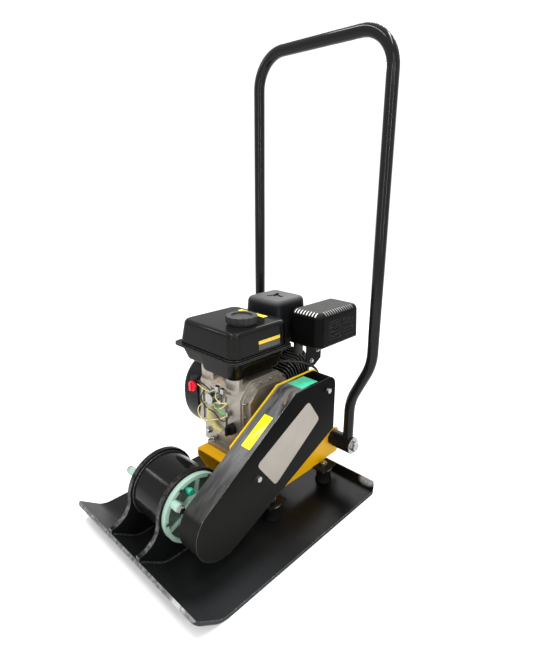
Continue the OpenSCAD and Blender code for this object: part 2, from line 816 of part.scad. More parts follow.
// The cylinder's own frame: Z runs from the crankshaft up the bore.
module on_cylinder(along) {
    translate([crank_x, cylinder_y, crank_z]) rotate([0, -90 + cylinder_tilt, 0])
        translate([0, 0, along]) children();
}

module crankcase() {
    color(cast_aluminium) difference() {
        union() {
            xz(case_y0, case_y1) case_outline();
            translate([case_rear_x - foot_reach, foot_y0, deck_z])
                cube([case_front_x - 14 - case_rear_x + 2 * foot_reach, foot_y1 - foot_y0, foot_h]);
            for (p = tank_posts) translate([tank_post_x, p[0], case_top_z - tank_post_sink])
                round_block(2 * tank_post_r, p[1], seam_z - p[2] - case_top_z + tank_post_sink, 6);
            for (y = [case_y0 + 16, case_y0 + 98])
                translate([case_front_x - 1, y - 2, deck_z + case_rib_low])
                    cube([4, 4, case_top_z - deck_z - case_rib_low - case_rib_drop]);
        }
        on_cylinder(barrel_start) translate([-cut_half, -cut_half, 0]) cube(2 * cut_half);
        bar_y(crank_x, crank_z, case_y0 - 1, case_y1 + 1, crank_r + move_gap);
    }
}

module crankcase_cover() {
    color(cast_aluminium) difference() {
        union() {
            xz(case_y1, case_y1 + case_rim_t) case_cover_outline(0);
            xz(case_y1, pto_y - 8) case_cover_outline(9);
            bar_y(crank_x, crank_z, case_y1, pto_y, pto_boss_r);
            for (a = [30:60:330]) translate([crank_x, 0, crank_z]) rotate([0, a, 0])
                translate([pto_boss_r - 2, case_y1, -2]) cube([pto_rib_l, pto_y - case_y1 - 4, 4]);
        }
        bar_y(crank_x, crank_z, case_y1 - 1, pto_y + 1, crank_r + move_gap);
        on_cylinder(barrel_start) translate([-cut_half, -cut_half, 0]) cube(2 * cut_half);
    }
}

// The side cover's outline, drawn in by inset.
module case_cover_outline(inset) {
    front = case_front_x - 3;
    hull() for (p = [[case_rear_x + 18, deck_z + foot_h + 20], [front - 32, deck_z + foot_h + 20],
        [front - 16, deck_z + 74], [front - 16, case_top_z - 46], [front - 38, case_top_z - 20],
        [crank_x - 10, case_top_z - 20], [case_rear_x + 18, crank_z + 30]])
        translate(p) circle(case_cover_r - inset);
}

module case_cover_bolts() {
    low = deck_z + foot_h + 8.5;
    top = case_top_z - 8.5;
    places = concat([for (z = [deck_z + 82, deck_z + 116, case_top_z - 46]) [case_front_x - 7.5, z]],
        [[case_front_x - 21, case_top_z - 25.5], [crank_x + 42, top], [crank_x + 10, top]],
        [for (z = [-58, -22]) [case_rear_x + 6.5, crank_z + z]],
        [for (x = [-48, 2, 52]) [crank_x + x, low]]);
    color(bright_zinc) for (p = places)
        hex_y(p.x, p.y, case_y1 + case_rim_t, 1, bolt_head_h - 2, 4.2);
}

module engine_bolts() {
    color(bright_zinc) for (x = [case_rear_x - foot_reach / 2, case_front_x - 14 + foot_reach / 2])
        for (y = [foot_y0 + 12, foot_y1 - 12]) translate([x, y, deck_z + foot_h]) {
            cylinder(h = 2, r = bolt_head_r);
            translate([0, 0, 2]) cylinder(h = bolt_head_h, r = bolt_head_r - 1, $fn = 6);
        }
}

module cylinder_barrel() {
    pitch = barrel_l / fin_n;
    color("#343433") on_cylinder(barrel_start) {
        cylinder(h = barrel_l, r = 40);
        for (i = [0:fin_n - 1]) translate([0, 0, i * pitch + (pitch - fin_t)])
            round_block(2 * fin_drop, 2 * fin_half, fin_t, 16);
    }
}

module cylinder_head() {
    color("#343433") on_cylinder(head_start) {
        round_block(78, 90, head_l, 12);
        for (i = [0:3]) translate([0, 0, 3 + i * 8]) round_block(2 * fin_drop, 2 * fin_half, fin_t, 16);
    }
}

module valve_cover() {
    color(black_paint) on_cylinder(head_start + head_l) {
        round_block(82, 88, 5, 10);
        translate([0, 0, 5]) domed_block(70, 76, valve_cover_l - 5, 10, 3, 6);
    }
}

module spark_plug() {
    color(rubber_black) on_cylinder(head_start + head_l / 2)
        translate([-10, fin_half, 0]) rotate([-90, 0, 0]) {
        cylinder(h = 14, r = 9);
        translate([0, 0, 14]) cylinder(h = 22, r = 11);
    }
}

// Fan housing and recoil starter
module fan_housing() {
    floor_z = deck_z + 8;
    color(black_plastic) difference() {
        intersection() {
            union() {
                bar_y(crank_x, crank_z, fan_y, case_y0, fan_r);
                translate([crank_x - 40, fan_y + 16, crank_z]) cube([100, fan_depth - 16, fan_r - 3]);
            }
            translate([crank_x - 200, fan_y - 1, floor_z]) cube([400, fan_depth + 2, 400]);
        }
        bar_y(crank_x, crank_z, fan_y + fan_wall, case_y0 - fan_wall, fan_r - fan_wall - 1);
        bar_y(crank_x, crank_z, fan_y - 1, fan_y + fan_wall + 1, recoil_r - 22);
        bar_y(crank_x, crank_z, case_y0 - fan_wall - 1, case_y0 + 1, 40);
    }
}

module recoil_cover() {
    slot_n = 12;
    color(black_plastic) difference() {
        translate([crank_x, fan_y, crank_z]) rotate([90, 0, 0]) rotate_extrude()
            polygon(concat([[0, 0], [recoil_r, 0]], arc([recoil_r - 16, recoil_depth - 16], 16, 0, 90, 6),
                [[30, recoil_depth], [26, recoil_depth - 3], [0, recoil_depth - 3]]));
        translate([crank_x, fan_y + 1, crank_z]) rotate([90, 0, 0]) rotate_extrude()
            polygon([[0, 0], [recoil_r - 4, 0], [recoil_r - 4, recoil_depth - 16],
                [recoil_r - 16, recoil_depth - 3],
                [34, recoil_depth - 3], [0, recoil_depth - 8]]);
        for (i = [0:slot_n - 1]) translate([crank_x, recoil_y, crank_z]) rotate([0, i * 360 / slot_n, 0])
            translate([42, -1, -4]) cube([28, 6, 8]);
        starter_place() translate([0, 0, recoil_r - 20]) cylinder(h = 40, r = 3);
    }
}

// The starter rope's line: straight up through the rim of the recoil cover, from the crankshaft's height.
module starter_place() {
    translate([crank_x - 14, recoil_y + recoil_depth / 2, crank_z]) children();
}

module starter_rope() {
    color("#d8d4c8") starter_place() translate([0, 0, -grip_rope]) cylinder(h = grip_rise + grip_rope, r = 2);
}

module starter_grip() {
    color(black_plastic) starter_place() translate([0, 0, grip_rise]) {
        cylinder(h = 8, r = 7);
        translate([0, 0, 6]) hull() for (x = [-26, 26]) translate([x, 0, 7]) sphere(8, $fn = 24);
    }
}

module switch_box() {
    color(black_plastic) difference() {
        translate([crank_x + fan_r - 30, switch_y, switch_z]) rotate([0, 90, 0])
            round_block(46, 27, switch_x - crank_x - fan_r + 30, 6);
        bar_y(crank_x, crank_z, fan_y, case_y0, fan_r);
    }
}

module switch_knob() {
    color(switch_red) translate([switch_x + move_gap, switch_y, switch_z]) rotate([0, 90, 0]) {
        cylinder(h = 6, r = 13);
        translate([0, 0, 6]) round_block(22, 8, 6, 3);
    }
}

// Fuel tank
// One half of the tank's lower shell below z = 0, drawn in by inset; the deep half clears the fan housing.
module tank_bowl(deep, inset) {
    l = tank_l - 2 * tank_inset;
    w = deep ? bowl_deep_w : tank_w - 2 * tank_inset;
    h = deep ? tank_bowl_h : tank_bowl_h - bowl_step;
    translate([0, (tank_w - 2 * tank_inset - w) / 2, 0]) mirror([0, 0, 1])
        domed_block(l - 2 * inset, w - 2 * inset, h - inset, tank_r - inset, bowl_draft, tank_edge_r - inset);
}

module tank_shell(inset) {
    domed_block(tank_l - 2 * tank_inset - 2 * inset, tank_w - 2 * tank_inset - 2 * inset, tank_top_h - inset,
        tank_r - inset, tank_draft, tank_edge_r - inset);
}

module fuel_tank() {
    color(black_paint) difference() {
        translate([tank_mid_x, tank_mid_y, seam_z]) {
            translate([0, 0, -seam_t / 2]) round_block(tank_l, tank_w, seam_t, tank_r - 4);
            tank_shell(0);
            tank_bowl(true, 0);
            tank_bowl(false, 0);
        }
        translate([tank_mid_x, tank_mid_y, seam_z]) tank_shell(tank_wall);
        translate([tank_mid_x, tank_mid_y, seam_z + 1]) {
            tank_bowl(true, tank_wall);
            tank_bowl(false, tank_wall);
        }
        translate([cap_x, cap_y, tank_top_z - tank_wall - 1]) cylinder(h = tank_wall + 2, r = cap_r - 14);
    }
}

module fuel_cap() {
    lobes = 14;
    color(black_plastic) translate([cap_x, cap_y, tank_top_z + move_gap]) difference() {
        union() {
            cylinder(h = 5, r = cap_r - 5);
            translate([0, 0, 5]) cylinder(h = cap_h - 5, r = cap_r);
        }
        for (i = [0:lobes - 1]) rotate(i * 360 / lobes)
            translate([cap_r + 4, 0, 4]) cylinder(h = cap_h, r = 6);
        translate([0, 0, cap_h - 3]) cylinder(h = 4, r = cap_r - 12);
    }
}

// Carburettor, levers and air cleaner
module carburettor() {
    color(cast_aluminium) {
        translate([carb_x, carb_y, air_low_z - 40]) round_block(44, 40, 28, 6);
        translate([carb_x, carb_y, air_low_z - 60]) cylinder(h = 20, r = 17);
        translate([carb_x, carb_y, air_low_z - 12]) cylinder(h = 12, r = 17);
        bar_y(carb_x - 4, air_low_z - 26, carb_y + 19, cylinder_y - fin_half, 12);
    }
}

// A flat control lever on a round boss; it points along X from its pin at the origin and turns about Y.
module lever(l, w) {
    bar_y(0, 0, -6, 0, w / 2 + 1);
    xz(-9, -6) {
        circle(w / 2);
        translate([-l, -w / 2]) square([l, w]);
        translate([-l, 0]) circle(w / 2 + 2);
    }
}

module throttle_lever() {
    color(black_plastic) translate(throttle_at) rotate([0, 165, 0]) lever(throttle_l, 8);
}

module choke_lever() {
    color(black_plastic) translate(choke_at) rotate([0, -25, 0]) lever(choke_l, 7);
}

module fuel_valve_lever() {
    color(black_plastic) translate(valve_at) rotate([0, -90, 0]) lever(valve_lever_l, valve_lever_w);
}

module air_cleaner_base() {
    color(black_plastic) translate([air_x, air_y, air_low_z])
        round_block(air_l - 8, air_w - 8, air_base_h, air_corner_r - 2);
}

module air_cleaner_cover() {
    cover_h = air_h - air_base_h;
    color(black_plastic) difference() {
        translate([air_x, air_y, air_low_z + air_base_h])
            domed_block(air_l, air_w, cover_h, air_corner_r, 5, 14);
        translate([air_x, air_y, air_low_z + air_base_h - 1])
            domed_block(air_l - 2 * air_wall, air_w - 2 * air_wall, cover_h - 12,
                air_corner_r - air_wall, 5, 10);
        translate([air_x, air_y, air_top_z - 6]) linear_extrude(7) {
            circle(9);
            for (a = [90, 210, 330]) rotate(a) translate([0, -4]) square([recess_l, 8]);
        }
    }
}

module air_filter() {
    color("#5a5a50") translate([air_x, air_y, air_low_z + air_base_h]) difference() {
        round_block(air_l - 2 * filter_gap, air_w - 2 * filter_gap, filter_h, air_corner_r - 2);
        translate([0, 0, -1]) round_block(air_l - 2 * filter_gap - 2 * filter_wall,
            air_w - 2 * filter_gap - 2 * filter_wall, filter_h - filter_gap, filter_gap);
    }
}

// Muffler inside its slotted shield
module muffler() {
    box_h = muffler_h - 26;
    color("#3a3734") translate([muffler_x, muffler_y, muffler_low_z]) difference() {
        union() {
            translate([0, 0, -muffler_floor_t])
                round_block(muffler_l - 2, muffler_w - 2, muffler_floor_t, 16);
            domed_block(muffler_l - 30, muffler_w - 30, box_h, 18, 2, 12);
        }
        domed_block(muffler_l - 36, muffler_w - 36, box_h - 3, 16, 2, 10);
        translate([exhaust_x - muffler_x, exhaust_y - muffler_y, -muffler_floor_t - 1])
            cylinder(h = muffler_floor_t + 2, r = exhaust_r - 3);
    }
}

module muffler_guard() {
    slot_l = 12;
    slot_w = 4;
    slot_gap = 9;
    long_n = 13;
    short_n = 8;
    color(black_plastic) difference() {
        translate([muffler_x, muffler_y, muffler_low_z])
            domed_block(muffler_l, muffler_w, muffler_h, muffler_r, muffler_draft, 16);
        translate([muffler_x, muffler_y, muffler_low_z - 1])
            domed_block(muffler_l - 2 * shield_t, muffler_w - 2 * shield_t, muffler_h + 1 - shield_t,
                muffler_r - shield_t, muffler_draft, 14);
        for (i = [0:long_n - 1]) for (s = [-1, 1])
            translate([muffler_x + (i - (long_n - 1) / 2) * slot_gap - slot_w / 2,
                muffler_y + s * (muffler_w / 2 - 10) - slot_l / 2, muffler_top_z - 20])
                cube([slot_w, slot_l, 30]);
        for (i = [0:short_n - 1]) for (s = [-1, 1])
            translate([muffler_x + s * (muffler_l / 2 - 10) - slot_l / 2,
                muffler_y + (i - (short_n - 1) / 2) * slot_gap - slot_w / 2, muffler_top_z - 20])
                cube([slot_l, slot_w, 30]);
        for (i = [0:4]) for (x = [-34, 22])
            translate([muffler_x + x - 22, muffler_y + muffler_w / 2 - 20, muffler_low_z + 14 + i * 10])
                cube([44, 30, 4]);
    }
}

module exhaust_pipe() {
    color("#3a3734") difference() {
        translate([exhaust_x, exhaust_y, crank_z])
            cylinder(h = muffler_low_z - muffler_floor_t - crank_z, r = exhaust_r);
        translate([exhaust_x, exhaust_y, crank_z]) cylinder(h = muffler_low_z, r = exhaust_r - 3);
        on_cylinder(0) translate([fin_drop - 2 * cut_half, -cut_half, 0]) cube(2 * cut_half);
    }
}

// Fittings on the front of the crankcase
module oil_sensor() {
    y = case_y0 + sensor_in;
    color(bright_zinc) {
        translate([case_front_x, y, sensor_z]) rotate([0, 90, 0]) round_block(sensor_h, sensor_w, 4, 4);
        translate([case_front_x + 4, y, sensor_z]) rotate([0, 90, 0]) cylinder(h = 18, r = 13);
    }
}

module drain_bolt() {
    color(bright_zinc) for (y = [case_y0 + 16, case_y1 - 22])
        translate([case_front_x - 14, y, deck_z + foot_h + 14]) rotate([0, 90, 0]) {
            cylinder(h = 2, r = 9);
            translate([0, 0, 2]) cylinder(h = 6, r = 7, $fn = 6);
        }
}

module oil_dipstick() {
    color(black_plastic) translate([case_front_x + move_gap, case_y1 - 26, deck_z + 78]) rotate([0, 90, 0]) {
        cylinder(h = 12, r = 13);
        translate([0, 0, 12]) round_block(24, 7, 10, 3);
    }
}

// Handle
handle_path = [[handle_low_half_w, 0], [handle_low_half_w, handle_bend_z0],
    [handle_half_w, handle_bend_z1], [handle_half_w, handle_h], [-handle_half_w, handle_h],
    [-handle_half_w, handle_bend_z1], [-handle_low_half_w, handle_bend_z0], [-handle_low_half_w, 0]];
handle_bends = [0, handle_low_bend, handle_low_bend, handle_top_bend, handle_top_bend, handle_low_bend,
    handle_low_bend, 0];

function heading(p, i) = unit(p[i + 1] - p[i]);
function turn_at(p, i) =
    let (a = heading(p, i - 1), b = heading(p, i)) atan2(a.x * b.y - a.y * b.x, a * b);
function trim_at(p, i, r) = i == 0 || i == len(p) - 1 ? 0 : r[i] * tan(abs(turn_at(p, i)) / 2);

// A round tube along points in the Y-Z plane, with a bend of its own radius at each inner point. The straight
// lengths are a hair thinner and reach a little way into the bends, as a formed tube does.
module bent_tube(p, bends, r, wall) {
    rotate([90, 0, 90]) {
        for (i = [0:len(p) - 2]) {
            d = heading(p, i);
            start = p[i] + d * (trim_at(p, i, bends) - tube_lap);
            stop = p[i + 1] - d * (trim_at(p, i + 1, bends) - tube_lap);
            translate(start) rotate(atan2(d.y, d.x)) rotate([0, 90, 0])
                linear_extrude(norm(stop - start)) tube_section(r - tube_step, wall - 2 * tube_step);
        }
        for (i = [1:len(p) - 2]) {
            a = turn_at(p, i);
            d = heading(p, i - 1);
            start = p[i] - d * trim_at(p, i, bends);
            centre = start + sign(a) * bends[i] * [-d.y, d.x];
            from = atan2(start.y - centre.y, start.x - centre.x);
            translate(centre) rotate(a > 0 ? from : from + a)
                rotate_extrude(angle = abs(a)) translate([bends[i], 0]) tube_section(r, wall);
        }
    }
}

module tube_section(r, wall) {
    difference() {
        circle(r);
        circle(r - wall);
    }
}

module handle_tube() {
    color(black_paint) difference() {
        translate([pivot_x, 0, pivot_z]) bent_tube(handle_path, handle_bends, handle_r, handle_wall);
        bar_y(pivot_x, pivot_z, -handle_half_w, handle_half_w, sleeve_r);
    }
}

module handle_sleeves() {
    color(black_paint) for (s = [0, 1]) mirror([0, s, 0])
        ring_y(pivot_x, pivot_z, sleeve_y0, sleeve_y1, sleeve_r, bush_r);
}

module handle_bushes() {
    color(rubber_black) for (s = [0, 1]) mirror([0, s, 0])
        ring_y(pivot_x, pivot_z, sleeve_y0, sleeve_y1, bush_r, pivot_bolt_r + run_gap);
}

module pivot_bolts() {
    washer_y = sleeve_y1 + move_gap;
    color(bright_zinc) for (s = [0, 1]) mirror([0, s, 0]) {
        bar_y(pivot_x, pivot_z, deck_half_w - deck_t - 10, washer_y, pivot_bolt_r);
        bar_y(pivot_x, pivot_z, washer_y, washer_y + pivot_washer_t, sleeve_r);
        hex_y(pivot_x, pivot_z, washer_y + pivot_washer_t, 1, 9, pivot_bolt_r + 5);
        translate([0, deck_half_w - deck_t - 10, 0]) ring_nut();
    }
}

// The nut inside the deck's wall, on the pivot's axis.
module ring_nut() {
    difference() {
        hex_y(pivot_x, pivot_z, 0, 1, 10, pivot_bolt_r + 5);
        bar_y(pivot_x, pivot_z, -1, 11, pivot_bolt_r);
    }
}

module pivot_spacers() {
    color(bare_steel) for (s = [0, 1]) mirror([0, s, 0])
        ring_y(pivot_x, pivot_z, deck_half_w, sleeve_y0 - move_gap, sleeve_r - 2, pivot_bolt_r);
}

base_plate();
exciter_ribs();
exciter_tube();
exciter_cover_left();
exciter_cover_right();
cover_bolts();
exciter_bearings();
shaft_seal();
oil_filler();
breather_cap();
mount_feet();
exciter_shaft();
eccentric_weight();
exciter_pulley();
pulley_bolt();
rubber_mounts();
mount_studs();
engine_deck();
guard_back_plate();
belt_guard();
guard_bolts();
v_belt();
crankcase();
crankcase_cover();
case_cover_bolts();
engine_bolts();
cylinder_barrel();
cylinder_head();
valve_cover();
spark_plug();
fan_housing();
recoil_cover();
starter_rope();
starter_grip();
switch_box();
switch_knob();
fuel_tank();
fuel_cap();
carburettor();
throttle_lever();
choke_lever();
fuel_valve_lever();
air_cleaner_base();
air_cleaner_cover();
air_filter();
muffler();
muffler_guard();
exhaust_pipe();
oil_sensor();
drain_bolt();
oil_dipstick();
crankshaft();
flywheel();
clutch_drum();
clutch_bolt();
handle_tube();
handle_sleeves();
handle_bushes();
pivot_bolts();
pivot_spacers();
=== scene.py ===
"""Looks of the plate compactor: finishes, rounded edges, small pieces, studio and camera."""

import json
import logging
import math
from collections.abc import Callable, Iterable, Sequence
from dataclasses import dataclass
from enum import Enum

import bmesh
import bpy
from mathutils import Matrix, Vector

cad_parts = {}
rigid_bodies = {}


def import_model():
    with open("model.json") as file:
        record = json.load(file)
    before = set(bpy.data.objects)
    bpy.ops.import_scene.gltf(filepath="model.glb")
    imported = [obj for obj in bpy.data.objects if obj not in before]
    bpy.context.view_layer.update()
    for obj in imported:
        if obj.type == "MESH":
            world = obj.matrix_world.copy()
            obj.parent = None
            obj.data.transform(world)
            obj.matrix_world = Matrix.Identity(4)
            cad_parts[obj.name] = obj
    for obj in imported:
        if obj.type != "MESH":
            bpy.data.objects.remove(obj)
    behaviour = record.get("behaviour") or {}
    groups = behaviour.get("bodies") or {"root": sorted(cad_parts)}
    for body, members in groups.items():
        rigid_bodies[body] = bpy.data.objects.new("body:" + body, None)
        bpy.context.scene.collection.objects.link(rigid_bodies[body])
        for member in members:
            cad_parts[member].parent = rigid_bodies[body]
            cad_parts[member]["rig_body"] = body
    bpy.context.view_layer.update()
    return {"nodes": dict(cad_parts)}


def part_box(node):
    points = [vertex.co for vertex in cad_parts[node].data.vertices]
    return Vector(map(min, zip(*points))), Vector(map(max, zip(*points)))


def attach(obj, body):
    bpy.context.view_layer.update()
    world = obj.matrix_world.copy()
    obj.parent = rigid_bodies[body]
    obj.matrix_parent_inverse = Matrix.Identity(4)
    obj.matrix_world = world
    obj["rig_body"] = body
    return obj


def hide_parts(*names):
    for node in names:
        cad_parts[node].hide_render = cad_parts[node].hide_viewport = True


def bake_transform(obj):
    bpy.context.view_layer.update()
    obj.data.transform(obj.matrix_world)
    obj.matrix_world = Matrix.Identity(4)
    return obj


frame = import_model()
LOG = logging.getLogger("plate_compactor")

Colour = tuple[float, float, float]
Point = tuple[float, float, float]
Pair = tuple[float, float]
Size = bpy.types.NodeSocket | float

MM = 0.001
UP: Point = (0.0, 0.0, 1.0)
LEFT: Point = (0.0, 1.0, 0.0)
NOSE_ANGLE = math.radians(37)
GUARD_SLOPE: Pair = (0.83266, -0.55379)

# Shading
EDGE_SAMPLES = 6
EDGE_GAIN = 6.0
SPOT_CORE = 0.3
BUMP_DEPTH = 0.4 * MM
COAT_ROUGHNESS = 0.08

# Meshes, with angles in degrees
SMOOTH_ANGLE = 32.0
FLAT_ANGLE = 0.6
MERGE_REACH = 0.004 * MM
PLATE_INSET = 0.5
PLATE_WALL = 0.6


class Axis(Enum):
    """Direction that a row of screws faces, as a turn of their upright shape."""

    X = (0.0, math.pi / 2, 0.0)
    Y = (-math.pi / 2, 0.0, 0.0)
    Z = (0.0, 0.0, 0.0)


class Sock:
    """A socket of a shader tree whose arithmetic adds Math nodes."""

    def __init__(self, shader: "Shader", socket: bpy.types.NodeSocket) -> None:
        """Keeps the shader that the socket belongs to."""
        self.shader = shader
        self.socket = socket

    def math(self, operation: str, *others: "Sock | float") -> "Sock":
        """Adds one Math node.

        Args:
            operation: the Math node's operation.
            others: what stands after this socket.

        Returns:
            The node's output.
        """
        inputs = dict(enumerate((self, *others)))
        return self.shader.node("ShaderNodeMath", {"operation": operation}, inputs)

    def __add__(self, other: "Sock | float") -> "Sock":
        """Sum."""
        return self.math("ADD", other)

    def __sub__(self, other: "Sock | float") -> "Sock":
        """Difference."""
        return self.math("SUBTRACT", other)

    def __rsub__(self, other: float) -> "Sock":
        """Difference from a number."""
        return self.shader.node("ShaderNodeMath", {"operation": "SUBTRACT"}, {0: other, 1: self})

    def __mul__(self, other: "Sock | float") -> "Sock":
        """Product."""
        return self.math("MULTIPLY", other)

    def __pow__(self, other: float) -> "Sock":
        """Power."""
        return self.math("POWER", other)

    __radd__ = __add__
    __rmul__ = __mul__

    def clamp(self) -> "Sock":
        """Held between 0 and 1."""
        return self.shader.node("ShaderNodeClamp", {}, {0: self})

    def step(self, low: float, high: float) -> "Sock":
        """A smooth step from 0 at low to 1 at high."""
        settings = {"interpolation_type": "SMOOTHSTEP"}
        return self.shader.node("ShaderNodeMapRange", settings, {0: self, 1: low, 2: high})

    def between(self, low: float, high: float) -> "Sock":
        """A straight rise from low at 0 to high at 1."""
        return self * (high - low) + low


class Shader:
    """One material that is put together node by node."""

    def __init__(self, name: str) -> None:
        """Starts an empty material.

        Args:
            name: name of the material.
        """
        self.material = bpy.data.materials.new(name)
        self.material.use_nodes = True
        self.tree = self.material.node_tree
        self.tree.nodes.clear()

    def node(self, kind: str, settings: dict, inputs: dict, out: int | str = 0) -> Sock:
        """Adds a node.

        Args:
            kind: type of the node.
            settings: its properties, set first.
            inputs: values or links of its sockets, by name or number.
            out: output to hand back.

        Returns:
            The chosen output, or the first input of a node that has no output.
        """
        made = self.tree.nodes.new(kind)
        for key, value in settings.items():
            setattr(made, key, value)
        for key, value in inputs.items():
            if isinstance(value, Sock):
                self.tree.links.new(value.socket, made.inputs[key])
            else:
                made.inputs[key].default_value = value
        return Sock(self, made.outputs[out] if made.outputs else made.inputs[0])

    def place(self, stretch: Point = (1.0, 1.0, 1.0), turn: Point = (0.0, 0.0, 0.0)) -> Sock:
        """Object coordinates, stretched and turned."""
        here = self.node("ShaderNodeTexCoord", {}, {}, "Object")
        return self.node("ShaderNodeMapping", {}, {0: here, 2: turn, 3: stretch})

    def noise(self, scale: float, detail: float, where: Sock | None = None) -> Sock:
        """Soft noise of a given scale and detail."""
        where = where or self.place()
        return self.node("ShaderNodeTexNoise", {}, {"Vector": where, "Scale": scale, "Detail": detail})

    def mix(self, share: Sock | float, low: Sock | Colour, high: Sock | Colour) -> Sock:
        """Mixes two colours."""
        low, high = ((*c, 1.0) if isinstance(c, tuple) else c for c in (low, high))
        return self.node("ShaderNodeMix", {"data_type": "RGBA"}, {0: share, 6: low, 7: high}, 2)

    def edges(self, radius: float) -> Sock:
        """How strongly the surface bends.

        Args:
            radius: how far round each point is looked, in metres.

        Returns:
            0 on a flat, and 1 or more on an edge.
        """
        round_normal = self.node("ShaderNodeBevel", {"samples": EDGE_SAMPLES}, {0: radius})
        flat_normal = self.node("ShaderNodeNewGeometry", {}, {}, "Normal")
        return (1.0 - self.vector("DOT_PRODUCT", round_normal, flat_normal)) * EDGE_GAIN

    def facing(self, way: Point) -> Sock:
        """How far the surface faces a given way of its own piece, from 0 to 1."""
        normal = self.node("ShaderNodeTexCoord", {}, {}, "Normal")
        return self.vector("DOT_PRODUCT", normal, way).clamp()

    def near(self, spot: Point, reach: Point) -> Sock:
        """A soft spot.

        Args:
            spot: its middle, in metres.
            reach: how far it goes along each axis.

        Returns:
            1 at the spot, falling to 0 at its reach.
        """
        stretch = tuple(1.0 / length for length in reach)
        middle = tuple(a * b for a, b in zip(spot, stretch))
        return 1.0 - self.vector("DISTANCE", self.place(stretch), middle).step(SPOT_CORE, 1.0)

    def vector(self, operation: str, one: Sock, other: Point | Sock) -> Sock:
        """A number made from two vectors."""
        return self.node("ShaderNodeVectorMath", {"operation": operation}, {0: one, 1: other}, "Value")

    def along(self, axis: str) -> Sock:
        """One of the object coordinates."""
        return self.node("ShaderNodeSeparateXYZ", {}, {0: self.place()}, axis)


@dataclass(frozen=True)
class Speckle:
    """Noise that is cut to spots: its scale and detail, and where a spot starts and is full."""

    scale: float
    detail: float
    start: float
    full: float

    def mask(self, shader: Shader) -> Sock:
        """0 between the spots and 1 in them."""
        return shader.noise(self.scale, self.detail).step(self.start, self.full)


@dataclass(frozen=True)
class Finish:
    """A painted, moulded or cast finish with wear on its edges, and a dusty film with painted sheen on its
    top.
    """

    name: str
    slot: str
    colour: Colour
    roughness: float
    spread: float = 0.06
    spread_noise: Pair = (90.0, 4.0)
    metallic: float = 0.0
    ior: float = 1.5
    coat: float = 0.0
    mottle: float = 0.15
    mottle_scale: float = 24.0
    grain: float = 0.05
    grain_scale: float = 900.0
    edge: float = 0.8 * MM
    wear: float = 0.0
    wear_reach: float = 1.4 * MM
    chip_noise: Pair = (210.0, 5.0)
    chip_step: Pair = (0.62, 0.7)
    chip_fall: float = 0.3
    # Share of each edge that is rubbed along its length; on the belt guard this paints a continuous
    # highlight line
    rub_and_highlight: float = 0.0
    # Colour and roughness of rubbed-through places, also used for painted highlights and reflections
    bare_and_sheen: Colour = (0.3, 0.3, 0.3)
    bare_and_sheen_rough: float = 0.08
    # A dusty film on faces that look up; it also paints the sheen that these tops show
    dust_and_sheen: float = 0.0
    dust_and_sheen_colour: Colour = (0.2, 0.2, 0.195)
    dust_and_sheen_noise: Pair = (20.0, 5.0)
    dust_and_sheen_span: Pair = (0.6, 1.4)
    dust_and_sheen_fade: float = 2.0
    dust_and_sheen_rough: float = 0.4

    def relief(self, shader: Shader) -> Sock:
        """Height of the fine relief."""
        return shader.noise(self.grain_scale, detail=2.0)

    def tint(self, shader: Shader) -> Sock:
        """Colour before wear and the dusty film with its painted sheen."""
        low, high = (tuple(c * k for c in self.colour) for k in (1.0 - self.mottle, 1.0 + self.mottle))
        return shader.mix(shader.noise(self.mottle_scale, detail=5.0), low, high)

    def more_wear_and_sheen(self, shader: Shader) -> Sock | None:
        """Places besides the edges that are rubbed through, and places with a painted highlight or
        reflection, where there are any.
        """
        return None

    def wear_and_sheen(self, shader: Shader) -> Sock:
        """Where the finish is rubbed through, and where a painted highlight or reflection lies.

        Args:
            shader: the material in the making.

        Returns:
            0 where the finish is whole and shows no painted light, and 1 where it is gone or the painted
            light is full.
        """
        start, full = self.chip_step
        chips = shader.noise(*self.chip_noise).step(start - self.chip_fall * self.wear, full)
        edges = shader.edges(self.wear_reach).clamp() * chips.math("MAXIMUM", self.rub_and_highlight)
        more = self.more_wear_and_sheen(shader)
        return edges.math("MAXIMUM", more) if more else edges

    def dust_and_sheen_film(self, shader: Shader) -> Sock:
        """How thick the dusty film with its painted sheen lies on the faces that look up."""
        patchy = shader.noise(*self.dust_and_sheen_noise).between(*self.dust_and_sheen_span)
        return shader.facing(UP) ** self.dust_and_sheen_fade * patchy * self.dust_and_sheen

    def material(self) -> bpy.types.Material:
        """Makes the material of the finish, once.

        Returns:
            The material.
        """
        label = "look_" + self.name
        kept = bpy.data.materials.get(label)
        if kept:
            return kept
        shader = Shader(label)
        colour = self.tint(shader)
        rough = shader.noise(*self.spread_noise).between(
            self.roughness - self.spread, self.roughness + self.spread
        )
        metallic: Sock | float = self.metallic
        # The film on top is partly dusty and partly painted sheen
        if self.dust_and_sheen:
            film = self.dust_and_sheen_film(shader)
            colour = shader.mix(film.clamp(), colour, self.dust_and_sheen_colour)
            rough = rough + film * self.dust_and_sheen_rough
        # Wear, and the painted highlights and reflections of some finishes, turn the colour metallic here
        if self.wear:
            wear_and_sheen = self.wear_and_sheen(shader)
            colour = shader.mix(wear_and_sheen, colour, self.bare_and_sheen)
            metallic = wear_and_sheen.math("MAXIMUM", self.metallic)
            rough = rough + wear_and_sheen * self.bare_and_sheen_rough
        rounded = shader.node("ShaderNodeBevel", {"samples": EDGE_SAMPLES}, {0: self.edge})
        height = self.relief(shader)
        bump = shader.node(
            "ShaderNodeBump",
            {},
            {"Strength": self.grain, "Distance": BUMP_DEPTH, "Height": height, "Normal": rounded},
        )
        surface = shader.node(
            "ShaderNodeBsdfPrincipled",
            {},
            {
                "Base Color": colour,
                "Roughness": rough.clamp(),
                "Metallic": metallic,
                "IOR": self.ior,
                "Coat Weight": self.coat,
                "Coat Roughness": COAT_ROUGHNESS,
                "Normal": bump,
            },
        )
        shader.node("ShaderNodeOutputMaterial", {}, {0: surface})
        return shader.material


